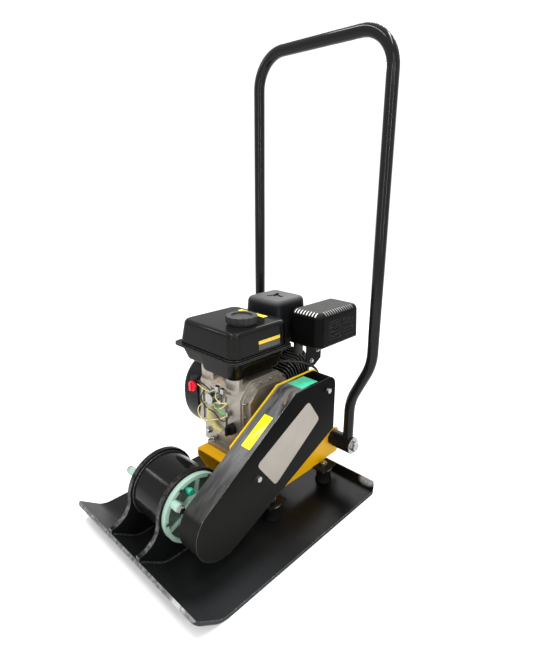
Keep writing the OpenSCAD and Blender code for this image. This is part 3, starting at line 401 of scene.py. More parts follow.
@dataclass(frozen=True)
class NosePaint(Finish):
    """Plate paint with a painted reflection along its side edge and painted shade at the rear, rubbed thin
    on the nose's end face.
    """

    slope: float = NOSE_ANGLE
    face: Pair = (0.8, 0.96)
    face_x: Pair = (0.28, 0.3)
    ragged: Speckle = Speckle(130.0, 5.0, 0.3, 0.7)
    ragged_span: Pair = (0.08, 0.38)
    spot: Point = (0.3145, 0.172, 0.047)
    spot_reach: Point = (0.03, 0.03, 0.03)
    spot_noise: Speckle = Speckle(90.0, 4.0, 0.2, 0.5)
    # Painted highlight at the corner of the rear lip
    lip_highlight: Point = (-0.258, 0.2, 0.022)
    lip_reach: Point = (0.02, 0.03, 0.016)
    lip_noise: Speckle = Speckle(40.0, 2.0, 0.2, 0.7)
    lip_share: float = 0.8
    # Painted shade: darker paint at the rear of the plate
    rear_shade: Colour = (0.0015, 0.0015, 0.0015)
    rear_shade_x: Pair = (-0.1, 0.1)
    # Painted reflection: a grey band along the side edge ahead
    film: Colour = (0.02, 0.0215, 0.0225)
    film_x: Pair = (-0.05, 0.2)
    film_y: Pair = (0.15, 0.205)

    def tint(self, shader: Shader) -> Sock:
        """Painted shade at the rear, and a grey painted reflection along the side edge ahead.

        Args:
            shader: the material in the making.

        Returns:
            The paint's colour.
        """
        x, y = shader.along("X"), shader.along("Y")
        paint = shader.mix(x.step(*self.rear_shade_x), self.rear_shade, super().tint(shader))
        return shader.mix(x.step(*self.film_x) * y.step(*self.film_y), paint, self.film)

    def more_wear_and_sheen(self, shader: Shader) -> Sock:
        """A ragged grey end face with one bright worn spot, and a painted highlight at the lip's corner.

        Args:
            shader: the material in the making.

        Returns:
            How far the end face is rubbed, and how strong the lip's painted highlight is.
        """
        way = (math.cos(self.slope), 0.0, math.sin(self.slope))
        face = shader.facing(way).step(*self.face) * shader.along("X").step(*self.face_x)
        ragged = self.ragged.mask(shader).between(*self.ragged_span)
        spot = shader.near(self.spot, self.spot_reach) * self.spot_noise.mask(shader)
        lip = shader.near(self.lip_highlight, self.lip_reach) * self.lip_noise.mask(shader)
        return (face * ragged.math("MAXIMUM", spot)).math("MAXIMUM", lip * self.lip_share)


@dataclass(frozen=True)
class RibPaint(Finish):
    """Rib paint that is rubbed grey along the front edge, most near the nose."""

    way: Point = (0.9, 0.0, 0.436)
    face: Pair = (0.55, 0.85)
    nose_x: Pair = (0.235, 0.3)
    rubbed_span: Pair = (0.1, 0.5)
    scratches: Speckle = Speckle(120.0, 5.0, 0.3, 0.65)

    def more_wear_and_sheen(self, shader: Shader) -> Sock:
        """The narrow front face, broken by scratches."""
        rubbed = shader.along("X").step(*self.nose_x).between(*self.rubbed_span)
        return shader.facing(self.way).step(*self.face) * rubbed * self.scratches.mask(shader)


@dataclass(frozen=True)
class CoverPaint(Finish):
    """Pale green cover paint with painted shade in the recess inside the rim."""

    web_y: Pair = (0.03, 0.04)
    rim_y: Pair = (0.0442, 0.0468)
    # Painted shade in the sunk web inside the rim
    recess_shade: Colour = (0.045, 0.07, 0.055)
    recess_shade_noise: Pair = (60.0, 4.0)
    recess_shade_span: Pair = (0.7, 1.1)

    def tint(self, shader: Shader) -> Sock:
        """Green on the rim and bosses, with painted shade on the sunk web.

        Args:
            shader: the material in the making.

        Returns:
            The paint's colour.
        """
        y = shader.along("Y")
        deep = y.step(*self.web_y) * (1.0 - y.step(*self.rim_y)) * shader.facing(LEFT)
        patchy = deep * shader.noise(*self.recess_shade_noise).between(*self.recess_shade_span)
        return shader.mix(patchy.clamp(), super().tint(shader), self.recess_shade)


@dataclass(frozen=True)
class GuardPaint(Finish):
    """Guard paint with painted shade towards its top, and a painted reflection in streaks on its sloped wall
    that grows towards its top.
    """

    slope: Point = (-GUARD_SLOPE[1], 0.0, GUARD_SLOPE[0])
    # Painted reflection on the sloped wall: which faces carry it, how it grows with height, and its streaks
    wall: Pair = (0.93, 0.985)
    rise_z: Pair = (0.15, 0.32)
    rise_span: Pair = (0.12, 0.97)
    streak_stretch: Point = (14.0, 60.0, 14.0)
    streak_step: Pair = (0.25, 0.75)
    streak_span: Pair = (0.25, 1.0)
    # Painted shade towards the top of the guard
    dark: Colour = (0.0006, 0.0006, 0.0006)
    dark_z: Pair = (0.12, 0.3)

    def tint(self, shader: Shader) -> Sock:
        """Painted shade: deep black towards the top, greyer low down."""
        return shader.mix(shader.along("Z").step(*self.dark_z), super().tint(shader), self.dark)

    def more_wear_and_sheen(self, shader: Shader) -> Sock:
        """Painted reflection in soft streaks on the sloped wall.

        Args:
            shader: the material in the making.

        Returns:
            How strong the painted reflection is.
        """
        wall = shader.facing(self.slope).step(*self.wall)
        rise = shader.along("Z").step(*self.rise_z).between(*self.rise_span)
        streaks = shader.noise(1.0, 4.0, shader.place(self.streak_stretch)).step(*self.streak_step)
        return wall * rise * streaks.between(*self.streak_span)


@dataclass(frozen=True)
class CastMetal(Finish):
    """Cast metal with warm stains."""

    stain: Colour = (0.3, 0.19, 0.1)
    stain_noise: Speckle = Speckle(16.0, 4.0, 0.48, 0.72)
    stain_share: float = 0.7

    def tint(self, shader: Shader) -> Sock:
        """Grey metal with brown patches."""
        patches = self.stain_noise.mask(shader) * self.stain_share
        return shader.mix(patches, super().tint(shader), self.stain)


@dataclass(frozen=True)
class MufflerSteel(Finish):
    """Muffler steel, bright on its shoulder as painted light that shows through the guard's slots, darker
    along its side and below.
    """

    shoulder: Pair = (0.442, 0.449)
    # Darker colour below the shoulder and along the side
    dark_steel: Colour = (0.012, 0.011, 0.01)
    side_dark: float = 0.95

    def tint(self, shader: Shader) -> Sock:
        """Darker below the shoulder and over its side; the bright colour above is painted light."""
        bright = shader.mix(shader.facing(LEFT) * self.side_dark, super().tint(shader), self.dark_steel)
        return shader.mix(shader.along("Z").step(*self.shoulder), self.dark_steel, bright)


@dataclass(frozen=True)
class DeckPaint(Finish):
    """Yellow deck paint whose ears over the mounts are black."""

    ear_y: float = 0.0862
    ear_edge: float = 0.3 * MM
    ear: Colour = (0.005, 0.005, 0.005)

    def tint(self, shader: Shader) -> Sock:
        """Yellow on the deck and black on the ears."""
        out = shader.along("Y").math("ABSOLUTE").step(self.ear_y - self.ear_edge, self.ear_y + self.ear_edge)
        return shader.mix(out, super().tint(shader), self.ear)


@dataclass(frozen=True)
class Clear(Finish):
    """Thin clear plastic."""

    alpha: float = 0.55

    def material(self) -> bpy.types.Material:
        """Makes the material with its alpha set.

        Returns:
            The material.
        """
        made = super().material()
        for node in made.node_tree.nodes:
            if node.type == "BSDF_PRINCIPLED":
                node.inputs["Alpha"].default_value = self.alpha
        return made


@dataclass(frozen=True)
class Brushed(Finish):
    """Metal with fine brush lines along one direction."""

    stretch: Point = (12.0, 900.0, 900.0)
    turn: Point = (0.0, 0.0, 0.0)

    def relief(self, shader: Shader) -> Sock:
        """Long thin lines."""
        return shader.noise(1.0, 2.0, shader.place(self.stretch, self.turn))


@dataclass(frozen=True)
class Twisted(Finish):
    """Rope with slanted strands."""

    strand_scale: float = 160.0

    def relief(self, shader: Shader) -> Sock:
        """Slanted waves."""
        inputs = {"Vector": shader.place(), "Scale": self.strand_scale}
        return shader.node("ShaderNodeTexWave", {"bands_direction": "DIAGONAL"}, inputs)


# Finishes, each with a slot name
PLATE_BLACK = NosePaint(
    "plate_black", "black_paint", (0.0075, 0.0078, 0.008), 0.3,
    ior=1.16, wear=0.4, rub_and_highlight=0.15, mottle=0.25, bare_and_sheen=(0.55, 0.55, 0.55),
)
RIB_BLACK = RibPaint(
    "rib_black", "black_paint", (0.0045, 0.0047, 0.005), 0.3, ior=1.16, wear=0.75, rub_and_highlight=0.35
)
FOOT_BLACK = Finish("foot_black", "black_paint", (0.004, 0.004, 0.004), 0.4, ior=1.1)
GLOSS_BLACK = Finish(
    "gloss_black", "black_paint", (0.006, 0.006, 0.0058), 0.13, ior=1.18, wear=0.4, grain=0.02
)
# The guard's edge share paints a continuous highlight, and the lower roughness of its rubbed places makes
# the painted reflection glossy
GUARD_BLACK = GuardPaint(
    "guard_black", "black_paint", (0.0095, 0.0095, 0.009), 0.5,
    ior=1.1, wear=0.5, rub_and_highlight=0.5, grain=0.015, mottle=0.1, bare_and_sheen_rough=-0.5,
)
TUBE_BLACK = Finish(
    "tube_black", "black_paint", (0.006, 0.006, 0.006), 0.1, spread=0.03, ior=1.24, grain=0.01
)
SHELL_BLACK = Finish(
    "shell_black", "black_plastic", (0.007, 0.007, 0.007), 0.35, ior=1.16, grain=0.12, dust_and_sheen=0.03
)
TANK_BLACK = Finish(
    "tank_black", "black_paint", (0.0022, 0.0022, 0.002), 0.25,
    spread=0.04, ior=1.03, coat=0.27, wear=0.4, rub_and_highlight=0.25, grain=0.02, dust_and_sheen=0.03,
)
# The air cleaner's film on top is largely painted sheen
FILTER_GREY = Finish(
    "filter_grey", "black_plastic", (0.005, 0.0053, 0.006), 0.36, ior=1.2, grain=0.2, dust_and_sheen=0.42
)
# The muffler guard's film on top is partly painted sheen
SHIELD_BLACK = Finish(
    "shield_black", "black_shield", (0.0025, 0.0025, 0.0024), 0.3, ior=1.11, wear=0.4, rub_and_highlight=0.2, dust_and_sheen=0.14
)
CAP_GREY = Finish(
    "cap_grey", "black_plastic", (0.014, 0.014, 0.014), 0.38, ior=1.27, grain=0.2, dust_and_sheen=0.04
)
FIN_BLACK = Finish(
    "fin_black", "black_paint", (0.008, 0.008, 0.008), 0.35,
    ior=1.2, wear=0.95, rub_and_highlight=0.4, wear_reach=2.0 * MM, bare_and_sheen=(0.5, 0.5, 0.49),
)
SOOTY = Finish(
    "sooty_steel", "sooty_steel", (0.03, 0.027, 0.024), 0.55, metallic=0.4, mottle=0.5, grain=0.3
)
# Painted light: the bright colour stands for light showing through the guard's slots
MUFFLER = MufflerSteel(
    "muffler_steel", "sooty_steel", (0.85, 0.84, 0.82), 0.4, metallic=0.3, mottle=0.15, grain=0.2
)
DECK_YELLOW = DeckPaint(
    "deck_yellow", "deck_yellow", (0.6, 0.32, 0.004), 0.3, ior=1.2, wear=0.3, mottle=0.08
)
BACK_YELLOW = Finish(
    "back_yellow", "deck_yellow", (0.58, 0.38, 0.008), 0.3, ior=1.25, wear=0.2, mottle=0.08
)
CAST = CastMetal(
    "cast_aluminium", "cast_aluminium", (0.31, 0.285, 0.25), 0.36,
    metallic=0.85, mottle=0.35, mottle_scale=30.0, grain=0.5, grain_scale=420.0,
    wear=0.8, bare_and_sheen=(0.75, 0.73, 0.7), dust_and_sheen=0.06, dust_and_sheen_colour=(0.16, 0.13, 0.1),
)
ZINC = Finish(
    "bright_zinc", "bright_zinc", (0.32, 0.325, 0.315), 0.28,
    metallic=1.0, mottle=0.4, mottle_scale=220.0, grain=0.1,
)
STEEL = Brushed("bare_steel", "bare_steel", (0.45, 0.45, 0.45), 0.32, metallic=1.0, grain=0.1)
NAME_PLATE = Brushed(
    "brushed_plate", "bare_steel", (0.275, 0.25, 0.222), 0.42,
    metallic=0.6, grain=0.16, mottle=0.12,
    stretch=(14.0, 700.0, 700.0), turn=(0.0, math.radians(35), 0.0),
)
IRON = Finish("flywheel_iron", "flywheel_iron", (0.16, 0.155, 0.15), 0.45, metallic=0.8, grain=0.3)
MINT = CoverPaint(
    "cover_green", "cover_green", (0.27, 0.395, 0.325), 0.38, ior=1.3, wear=0.3, mottle=0.14
)
EMERALD = Finish("cap_green", "cap_green", (0.012, 0.3, 0.17), 0.3, mottle=0.1)
RUBBER = Finish("rubber", "rubber", (0.004, 0.004, 0.004), 0.55, ior=1.14, grain=0.3, dust_and_sheen=0.02)
RED = Finish("switch_red", "switch_red", (0.7, 0.008, 0.03), 0.3, ior=1.4, mottle=0.1)
ROPE = Twisted("rope", "rope", (0.4, 0.38, 0.33), 0.8, grain=0.8)
FOAM = Finish("filter_foam", "filter_foam", (0.09, 0.09, 0.075), 0.9, grain=1.0, grain_scale=700.0)
STICKER_YELLOW = Finish(
    "sticker_yellow", "black_plastic", (0.86, 0.76, 0.01), 0.3, mottle=0.04, grain=0.02
)
STICKER_GREEN = Finish(
    "sticker_green", "black_plastic", (0.05, 0.46, 0.27), 0.3, mottle=0.25, mottle_scale=60.0
)
LABEL_AMBER = Finish("label_amber", "black_plastic", (0.6, 0.4, 0.02), 0.3, mottle=0.05, grain=0.02)
LABEL_DARK = Finish(
    "label_dark", "black_plastic", (0.03, 0.028, 0.024), 0.24, mottle=0.3, mottle_scale=300.0
)
WIRE_YELLOW = Finish("wire_yellow", "rubber", (0.7, 0.62, 0.16), 0.4, mottle=0.1)
WIRE_GREEN = Finish("wire_green", "rubber", (0.1, 0.32, 0.1), 0.45, mottle=0.1)
WIRE_BLACK = Finish("wire_black", "rubber", (0.01, 0.01, 0.01), 0.4, ior=1.35, mottle=0.1)
SLEEVE = Clear("clear_sleeve", "rubber", (0.62, 0.56, 0.2), 0.25, mottle=0.35, mottle_scale=50.0)


class GeoTree:
    """A Geometry Nodes tree with named size inputs that is baked to a plain mesh."""

    def __init__(self, name: str, sizes: dict[str, float | int]) -> None:
        """Starts a tree.

        Args:
            name: name of the tree.
            sizes: its inputs with their values; a whole number makes an integer input.
        """
        self.tree = bpy.data.node_groups.new(name, "GeometryNodeTree")
        face = self.tree.interface
        face.new_socket("Geometry", in_out="INPUT", socket_type="NodeSocketGeometry")
        face.new_socket("Geometry", in_out="OUTPUT", socket_type="NodeSocketGeometry")
        self.ids: dict[str, str] = {}
        for key, value in sizes.items():
            kind = "NodeSocketInt" if isinstance(value, int) else "NodeSocketFloat"
            item = face.new_socket(key, in_out="INPUT", socket_type=kind)
            item.default_value = value
            self.ids[key] = item.identifier
        self.entry = self.tree.nodes.new("NodeGroupInput")
        self.exit = self.tree.nodes.new("NodeGroupOutput")

    def size(self, key: str) -> bpy.types.NodeSocket:
        """A named input."""
        return self.entry.outputs[key]

    def node(self, kind: str, settings: dict, inputs: dict, out: int | str = 0) -> bpy.types.NodeSocket:
        """Adds a node.

        Args:
            kind: type of the node.
            settings: its properties, set first.
            inputs: values or links of its sockets, by name or number; a list holds several links.
            out: output to hand back.

        Returns:
            The chosen output.
        """
        made = self.tree.nodes.new(kind)
        for key, value in settings.items():
            setattr(made, key, value)
        for key, value in inputs.items():
            for part in value if isinstance(value, list) else [value]:
                if isinstance(part, bpy.types.NodeSocket):
                    self.tree.links.new(part, made.inputs[key])
                else:
                    made.inputs[key].default_value = part
        return made.outputs[out]

    def vary(self, low: float, high: float, seed: int) -> bpy.types.NodeSocket:
        """A random number for each point."""
        inputs = {"Min": low, "Max": high, "Seed": seed}
        return self.node("FunctionNodeRandomValue", {"data_type": "FLOAT"}, inputs, 1)

    def close(self, geometry: bpy.types.NodeSocket, finish: Finish) -> None:
        """Ends the tree in Realize Instances and Set Material.

        Args:
            geometry: what the tree made.
            finish: its finish.
        """
        real = self.node("GeometryNodeRealizeInstances", {}, {0: geometry})
        dressed = self.node("GeometryNodeSetMaterial", {}, {0: real, "Material": finish.material()})
        self.tree.links.new(dressed, self.exit.inputs[0])

    def bake(self, mesh: bpy.types.Mesh, sizes: dict[str, float | int]) -> bpy.types.Mesh:
        """Runs the tree on a mesh.

        Args:
            mesh: what the tree starts from.
            sizes: values of its inputs.

        Returns:
            The result as a plain mesh.
        """
        carrier = put("carrier", mesh)
        modifier = carrier.modifiers.new("tree", "NODES")
        modifier.node_group = self.tree
        for key, value in sizes.items():
            modifier[self.ids[key]] = value
        return flatten(carrier)


def put(name: str, data: bpy.types.ID) -> bpy.types.Object:
    """Sets an object in the scene.

    Args:
        name: name of the object.
        data: its mesh, light or camera.

    Returns:
        The new object.
    """
    made = bpy.data.objects.new(name, data)
    bpy.context.scene.collection.objects.link(made)
    return made


def flatten(carrier: bpy.types.Object) -> bpy.types.Mesh:
    """Turns an object with modifiers into a plain mesh and removes the object.

    Args:
        carrier: the object.

    Returns:
        The mesh that its modifiers made.
    """
    graph = bpy.context.evaluated_depsgraph_get()
    graph.update()
    mesh = bpy.data.meshes.new_from_object(carrier.evaluated_get(graph), depsgraph=graph)
    bpy.data.objects.remove(carrier)
    return mesh


def smooth(mesh: bpy.types.Mesh, angle: float) -> None:
    """Shades a mesh smooth up to an angle in degrees."""
    mesh.shade_smooth()
    mesh.set_sharp_from_angle(angle=math.radians(angle))


def piece(
    name: str,
    mesh: bpy.types.Mesh,
    finish: Finish,
    body: str | None,
    replaced: Sequence[str] = (),
    angle: float | None = SMOOTH_ANGLE,
) -> bpy.types.Object:
    """Makes a finished piece.

    Args:
        name: name of the piece.
        mesh: its mesh, in place.
        finish: its finish.
        body: body that it rides on, or None for a piece that rides on none.
        replaced: solids that it takes the place of.
        angle: widest angle that is shaded smooth, or None for a mesh that is shaded already.

    Returns:
        The new object.
    """
    if not mesh.materials:
        mesh.materials.append(finish.material())
    if angle is not None:
        smooth(mesh, angle)
    mesh.name = name
    made = put(name, mesh)
    if body:
        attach(made, body)
    if replaced:
        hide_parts(*replaced)
    LOG.info("%s rides on %s", name, body)
    return made


def body_of(node: str) -> str:
    """Body that a solid belongs to."""
    return frame["nodes"][node]["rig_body"]


def merged(node: str) -> bmesh.types.BMesh:
    """Copies a solid's mesh.

    Args:
        node: the solid.

    Returns:
        The copy, its doubles merged and its flat faces joined.
    """
    work = bmesh.new()
    work.from_mesh(frame["nodes"][node].data)
    bmesh.ops.remove_doubles(work, verts=work.verts, dist=MERGE_REACH)
    bmesh.ops.dissolve_limit(
        work,
        angle_limit=math.radians(FLAT_ANGLE),
        use_dissolve_boundaries=False,
        verts=work.verts,
        edges=work.edges,
    )
    return work


def heads(node: str) -> list[tuple[Vector, Vector]]:
    """Finds the separate heads of a solid.

    Args:
        node: the solid.

    Returns:
        Low and high corner of each head, in millimetres, in the order of the mesh.
    """
    work = merged(node)
    left = set(work.verts)
    found = []
    for first in work.verts:
        if first not in left:
            continue
        left.remove(first)
        pool, island = [first], []
        while pool:
            vert = pool.pop()
            island.append(vert.co / MM)
            reached = {edge.other_vert(vert) for edge in vert.link_edges} & left
            left -= reached
            pool.extend(reached)
        low, high = (Vector(pick(p[i] for p in island) for i in range(3)) for pick in (min, max))
        found.append((low, high))
    work.free()
    return found


def soften(
    node: str,
    finish: Finish,
    edge: float,
    segments: int = 3,
    angle: float = 34.0,
    rides: bool = True,
    form: Callable[[Vector], Vector] | None = None,
) -> bpy.types.Object:
    """Replaces a solid by a copy with rounded edges.

    Args:
        node: the solid.
        finish: finish of the copy.
        edge: radius of its edges, in millimetres.
        segments: steps across each rounded edge.
        angle: smallest angle that counts as an edge, in degrees.
        rides: whether it rides on the solid's body.
        form: moves each point, in millimetres, before the edges are rounded.

    Returns:
        The new piece.
    """
    work = merged(node)
    if form:
        for vert in work.verts:
            vert.co = form(vert.co / MM) * MM
    mesh = bpy.data.meshes.new(node)
    work.to_mesh(mesh)
    work.free()
    mesh.shade_smooth()
    carrier = put("carrier", mesh)
    bevel = carrier.modifiers.new("edges", "BEVEL")
    bevel.width = edge * MM
    bevel.segments = segments
    bevel.limit_method = "ANGLE"
    bevel.angle_limit = math.radians(angle)
    bevel.use_clamp_overlap = True
    bevel.miter_outer = "MITER_ARC"
    weighted = carrier.modifiers.new("normals", "WEIGHTED_NORMAL")
    weighted.keep_sharp = True
    body = body_of(node) if rides else None
    return piece(node + "_dressed", flatten(carrier), finish, body, [node], None)


def points_mesh(points: Iterable[Point], joined: bool = False) -> bpy.types.Mesh:
    """Makes a mesh of points.

    Args:
        points: the points, in millimetres.
        joined: whether edges join them in a row.

    Returns:
        The mesh.
    """
    places = [tuple(c * MM for c in p) for p in points]
    edges = [(i, i + 1) for i in range(len(places) - 1)] if joined else []
    mesh = bpy.data.meshes.new("points")
    mesh.from_pydata(places, edges, [])
    return mesh


def curved(points: Sequence[Point], steps: int = 8) -> list[Point]:
    """Draws a smooth line through points.

    Args:
        points: the points that it passes.
        steps: steps between two of them.

    Returns:
        The line's points.
    """
    line = [Vector(p) for p in points]
    line = [line[0] * 2 - line[1], *line, line[-1] * 2 - line[-2]]
    out: list[Point] = []
    for a, b, c, d in zip(line, line[1:], line[2:], line[3:]):
        for i in range(steps):
            t = i / steps
            p = 2 * b + (c - a) * t + (2 * a - 5 * b + 4 * c - d) * t**2 + (3 * b - a - 3 * c + d) * t**3
            out.append(tuple(p * 0.5))
    return [*out, tuple(line[-2])]


def eased(value: float, low: float, high: float) -> float:
    """A smooth step from 0 at low to 1 at high."""
    t = min(max((value - low) / (high - low), 0.0), 1.0)
    return t * t * (3 - 2 * t)


def bent_line(points: Sequence[Point], bends: Sequence[float], steps: int = 14) -> list[Point]:
    """Draws a line with rounded corners.

    Args:
        points: its ends and corners, in millimetres.
        bends: bend radius of each corner.
        steps: steps round each corner.

    Returns:
        The line's points.
    """
    spots = [Vector(p) for p in points]
    line: list[Point] = [tuple(spots[0])]
    for before, spot, after, radius in zip(spots, spots[1:], spots[2:], bends):
        back, ahead = (before - spot).normalized(), (after - spot).normalized()
        half = back.angle(ahead) / 2
        centre = spot + (back + ahead).normalized() * (radius / math.sin(half))
        start = spot + back * (radius / math.tan(half)) - centre
        end = spot + ahead * (radius / math.tan(half)) - centre
        turns = (start.slerp(end, i / steps).normalized() for i in range(steps + 1))
        line.extend(tuple(centre + turn * radius) for turn in turns)
    return [*line, tuple(spots[-1])]


def corners(one: Pair, other: Pair) -> tuple[Pair, ...]:
    """The four corners of a rectangle, from its reach along two axes."""
    (a, b), (c, d) = one, other
    return ((a, c), (b, c), (b, d), (a, d))


def rounded_ring(middle: Point, size: Pair, corner: float, steps: int = 8) -> list[Vector]:
    """Draws a rounded rectangle in a level plane.

    Args:
        middle: its middle, in millimetres.
        size: its length and width.
        corner: radius of its corners.
        steps: steps round each corner.

    Returns:
        The points of its outline.
    """
    ring = []
    for k, (sx, sy) in enumerate(((1, 1), (-1, 1), (-1, -1), (1, -1))):
        for i in range(steps + 1):
            turn = math.pi / 2 * (k + i / steps)
            x = middle[0] + sx * (size[0] / 2 - corner) + corner * math.cos(turn)
            y = middle[1] + sy * (size[1] / 2 - corner) + corner * math.sin(turn)
            ring.append(Vector((x, y, middle[2])))
    return ring


def loft(rings: Sequence[Sequence[Vector]]) -> bpy.types.Mesh:
    """Stretches a skin over rings and closes its ends.

    Args:
        rings: rings of the same count of points, in millimetres.

    Returns:
        The closed mesh.
    """
    work = bmesh.new()
    rows = [[work.verts.new(p * MM) for p in ring] for ring in rings]
    count = len(rows[0])
    for low, high in zip(rows, rows[1:]):
        for i in range(count):
            j = (i + 1) % count
            work.faces.new((low[i], low[j], high[j], high[i]))
    work.faces.new(rows[0][::-1])
    work.faces.new(rows[-1])
    bmesh.ops.recalc_face_normals(work, faces=work.faces)
    mesh = bpy.data.meshes.new("loft")
    work.to_mesh(mesh)
    work.free()
    return mesh


def plate(outline: Iterable[Point], thick: float, corner: float, steps: int = 6) -> bpy.types.Mesh:
    """Makes a thin plate with rounded corners and a narrow chamfer.

    Args:
        outline: its corners on one plane, in millimetres, anticlockwise from outside.
        thick: how far it stands proud.
        corner: radius of its corners.
        steps: steps round each corner.

    Returns:
        The plate's mesh.
    """
    spots = [Vector(p) for p in outline]
    normal = (spots[1] - spots[0]).cross(spots[2] - spots[1]).normalized()
    foot: list[Vector] = []
    for i, spot in enumerate(spots):
        back = (spots[i - 1] - spot).normalized()
        ahead = (spots[(i + 1) % len(spots)] - spot).normalized()
        reach = corner / math.tan(back.angle(ahead) / 2)
        start, end = spot + back * reach, spot + ahead * reach
        for k in range(steps + 1):
            t = k / steps
            foot.append(start * (1 - t) ** 2 + spot * (2 * t * (1 - t)) + end * t**2)
    middle = sum(foot, Vector()) / len(foot)
    wall = [p + normal * thick * PLATE_WALL for p in foot]
    inset = [p + (middle - p).normalized() * min(thick, PLATE_INSET) for p in foot]
    return loft([foot, wall, [p + normal * thick for p in inset]])


@dataclass(frozen=True)
class ScrewSize:
    """Radii and heights of a screw's head and of its washer, in millimetres."""

    head: float
    height: float
    washer: float
    washer_height: float

    def inputs(self) -> dict[str, float]:
        """The sizes in metres, by the names of the tree's inputs."""
        sizes = (self.head, self.height, self.washer, self.washer_height)
        return dict(zip(("Head", "Height", "Washer", "Washer Height"), (size * MM for size in sizes)))


@dataclass
class Screws:
    """Hexagon heads on washers, set by a tree on a mesh of points."""

    axis: Axis = Axis.Y
    washer_share: float = 0.24
    head_share: float = 0.8
    neck_share: float = 0.8
    crown_taper: float = 0.82
    washer_taper: float = 0.95
    washer_sides: int = 28
    head_sides: int = 6
    widest_turn: float = 1.04
    seed: int = 7

    def tree(self, finish: Finish) -> GeoTree:
        """The tree that sets one screw on each point.

        Args:
            finish: finish of the screws.

        Returns:
            A tree with the inputs Head, Height, Washer and Washer Height.
        """
        tree = GeoTree("screws", ScrewSize(1.0, 1.0, 1.0, 1.0).inputs())

        def part(sides: int, low: Size, high: Size, tall: Size, base: Size) -> bpy.types.NodeSocket:
            """Makes one cone or prism.

            Args:
                sides: its sides.
                low: radius of its foot.
                high: radius of its top.
                tall: its height.
                base: where its foot stands.

            Returns:
                The shape in its place.
            """
            sizes = {"Vertices": sides, "Radius Top": high, "Radius Bottom": low, "Depth": tall}
            made = tree.node("GeometryNodeMeshCone", {}, sizes)
            lift = tree.node("ShaderNodeCombineXYZ", {}, {"Z": base})
            return tree.node("GeometryNodeTransform", {}, {0: made, "Translation": lift})

        def times(one: bpy.types.NodeSocket, share: float) -> bpy.types.NodeSocket:
            """A share of a size."""
            return tree.node("ShaderNodeMath", {"operation": "MULTIPLY"}, {0: one, 1: share})

        head, height, washer, washer_h = (tree.size(key) for key in tree.ids)
        neck, crown = times(height, self.neck_share), times(height, 1.0 - self.neck_share)
        shoulder = tree.node("ShaderNodeMath", {}, {0: washer_h, 1: neck})
        parts = [
            part(self.washer_sides, washer, times(washer, self.washer_taper), washer_h, 0.0),
            part(self.head_sides, head, head, neck, washer_h),
            part(self.head_sides, head, times(head, self.crown_taper), crown, shoulder),
        ]
        screw = tree.node("GeometryNodeJoinGeometry", {}, {0: parts})
        placed = tree.node(
            "GeometryNodeInstanceOnPoints",
            {},
            {"Points": tree.entry.outputs[0], "Instance": screw, "Rotation": self.axis.value},
        )
        turn = tree.vary(0.0, self.widest_turn, self.seed)
        spin = tree.node("ShaderNodeCombineXYZ", {}, {"Z": turn})
        tree.close(tree.node("GeometryNodeRotateInstances", {}, {0: placed, "Rotation": spin}), finish)
        return tree

    def bake(self, places: Iterable[Point], size: ScrewSize, finish: Finish) -> bpy.types.Mesh:
        """Sets one screw on each place, given in millimetres."""
        return self.tree(finish).bake(points_mesh(places), size.inputs())

    def replace(self, node: str, finish: Finish) -> bpy.types.Object:
        """Sets a screw in the place of each head of a solid.

        Args:
            node: the solid.
            finish: finish of the screws.

        Returns:
            The new piece.
        """
        k = list(Axis).index(self.axis)
        found = heads(node)
        low, high = found[0]
        tall = high[k] - low[k]
        across = min(high[i] - low[i] for i in range(3) if i != k) / 2
        size = ScrewSize(
            across * self.head_share, tall * (1 - self.washer_share), across, tall * self.washer_share
        )
        places = []
        for low, high in found:
            middle = (low + high) / 2
            middle[k] = low[k]
            places.append(tuple(middle))
        return piece(node + "_dressed", self.bake(places, size, finish), finish, body_of(node), [node])


@dataclass(frozen=True)
class WeldBead:
    """A row of overlapping weld ripples along a path, in millimetres."""

    radius: float = 3.2
    pitch: float = 2.6
    segments: int = 10
    rings: int = 6
    share: Pair = (0.8, 1.15)
    seed: int = 3

    def bake(self, line: Sequence[Point], finish: Finish) -> bpy.types.Mesh:
        """Lays the bead along a line.

        Args:
            line: the line's points.
            finish: finish of the bead.

        Returns:
            The bead's mesh.
        """
        tree = GeoTree("weld_bead", {"Radius": 1.0, "Pitch": 1.0})
        path = tree.node("GeometryNodeMeshToCurve", {}, {0: tree.entry.outputs[0]})
        pitch = {0: path, "Length": tree.size("Pitch")}
        spots = tree.node("GeometryNodeResampleCurve", {"mode": "LENGTH"}, pitch)
        ball = {"Segments": self.segments, "Rings": self.rings, "Radius": tree.size("Radius")}
        drop = tree.node("GeometryNodeMeshUVSphere", {}, ball)
        spread = {"Points": spots, "Instance": drop, "Scale": tree.vary(*self.share, self.seed)}
        tree.close(tree.node("GeometryNodeInstanceOnPoints", {}, spread), finish)
        sizes = {"Radius": self.radius * MM, "Pitch": self.pitch * MM}
        return tree.bake(points_mesh(line, joined=True), sizes)


@dataclass
class Wire:
    """A round wire or tube that is swept along a line, in millimetres."""

    radius: float
    sides: int = 10

    def sweep(self, line: Sequence[Point], finish: Finish) -> bpy.types.Mesh:
        """Sweeps it along a line.

        Args:
            line: the line's points.
            finish: finish of the wire.

        Returns:
            The wire's mesh, closed at its ends.
        """
        tree = GeoTree("wire", {"Radius": 1.0, "Sides": self.sides})
        path = tree.node("GeometryNodeMeshToCurve", {}, {0: tree.entry.outputs[0]})
        circle = {"Resolution": tree.size("Sides"), "Radius": tree.size("Radius")}
        ring = tree.node("GeometryNodeCurvePrimitiveCircle", {}, circle)
        skin = tree.node("GeometryNodeCurveToMesh", {}, {0: path, 1: ring, "Fill Caps": True})
        tree.close(skin, finish)
        return tree.bake(points_mesh(line, joined=True), {"Radius": self.radius * MM, "Sides": self.sides})


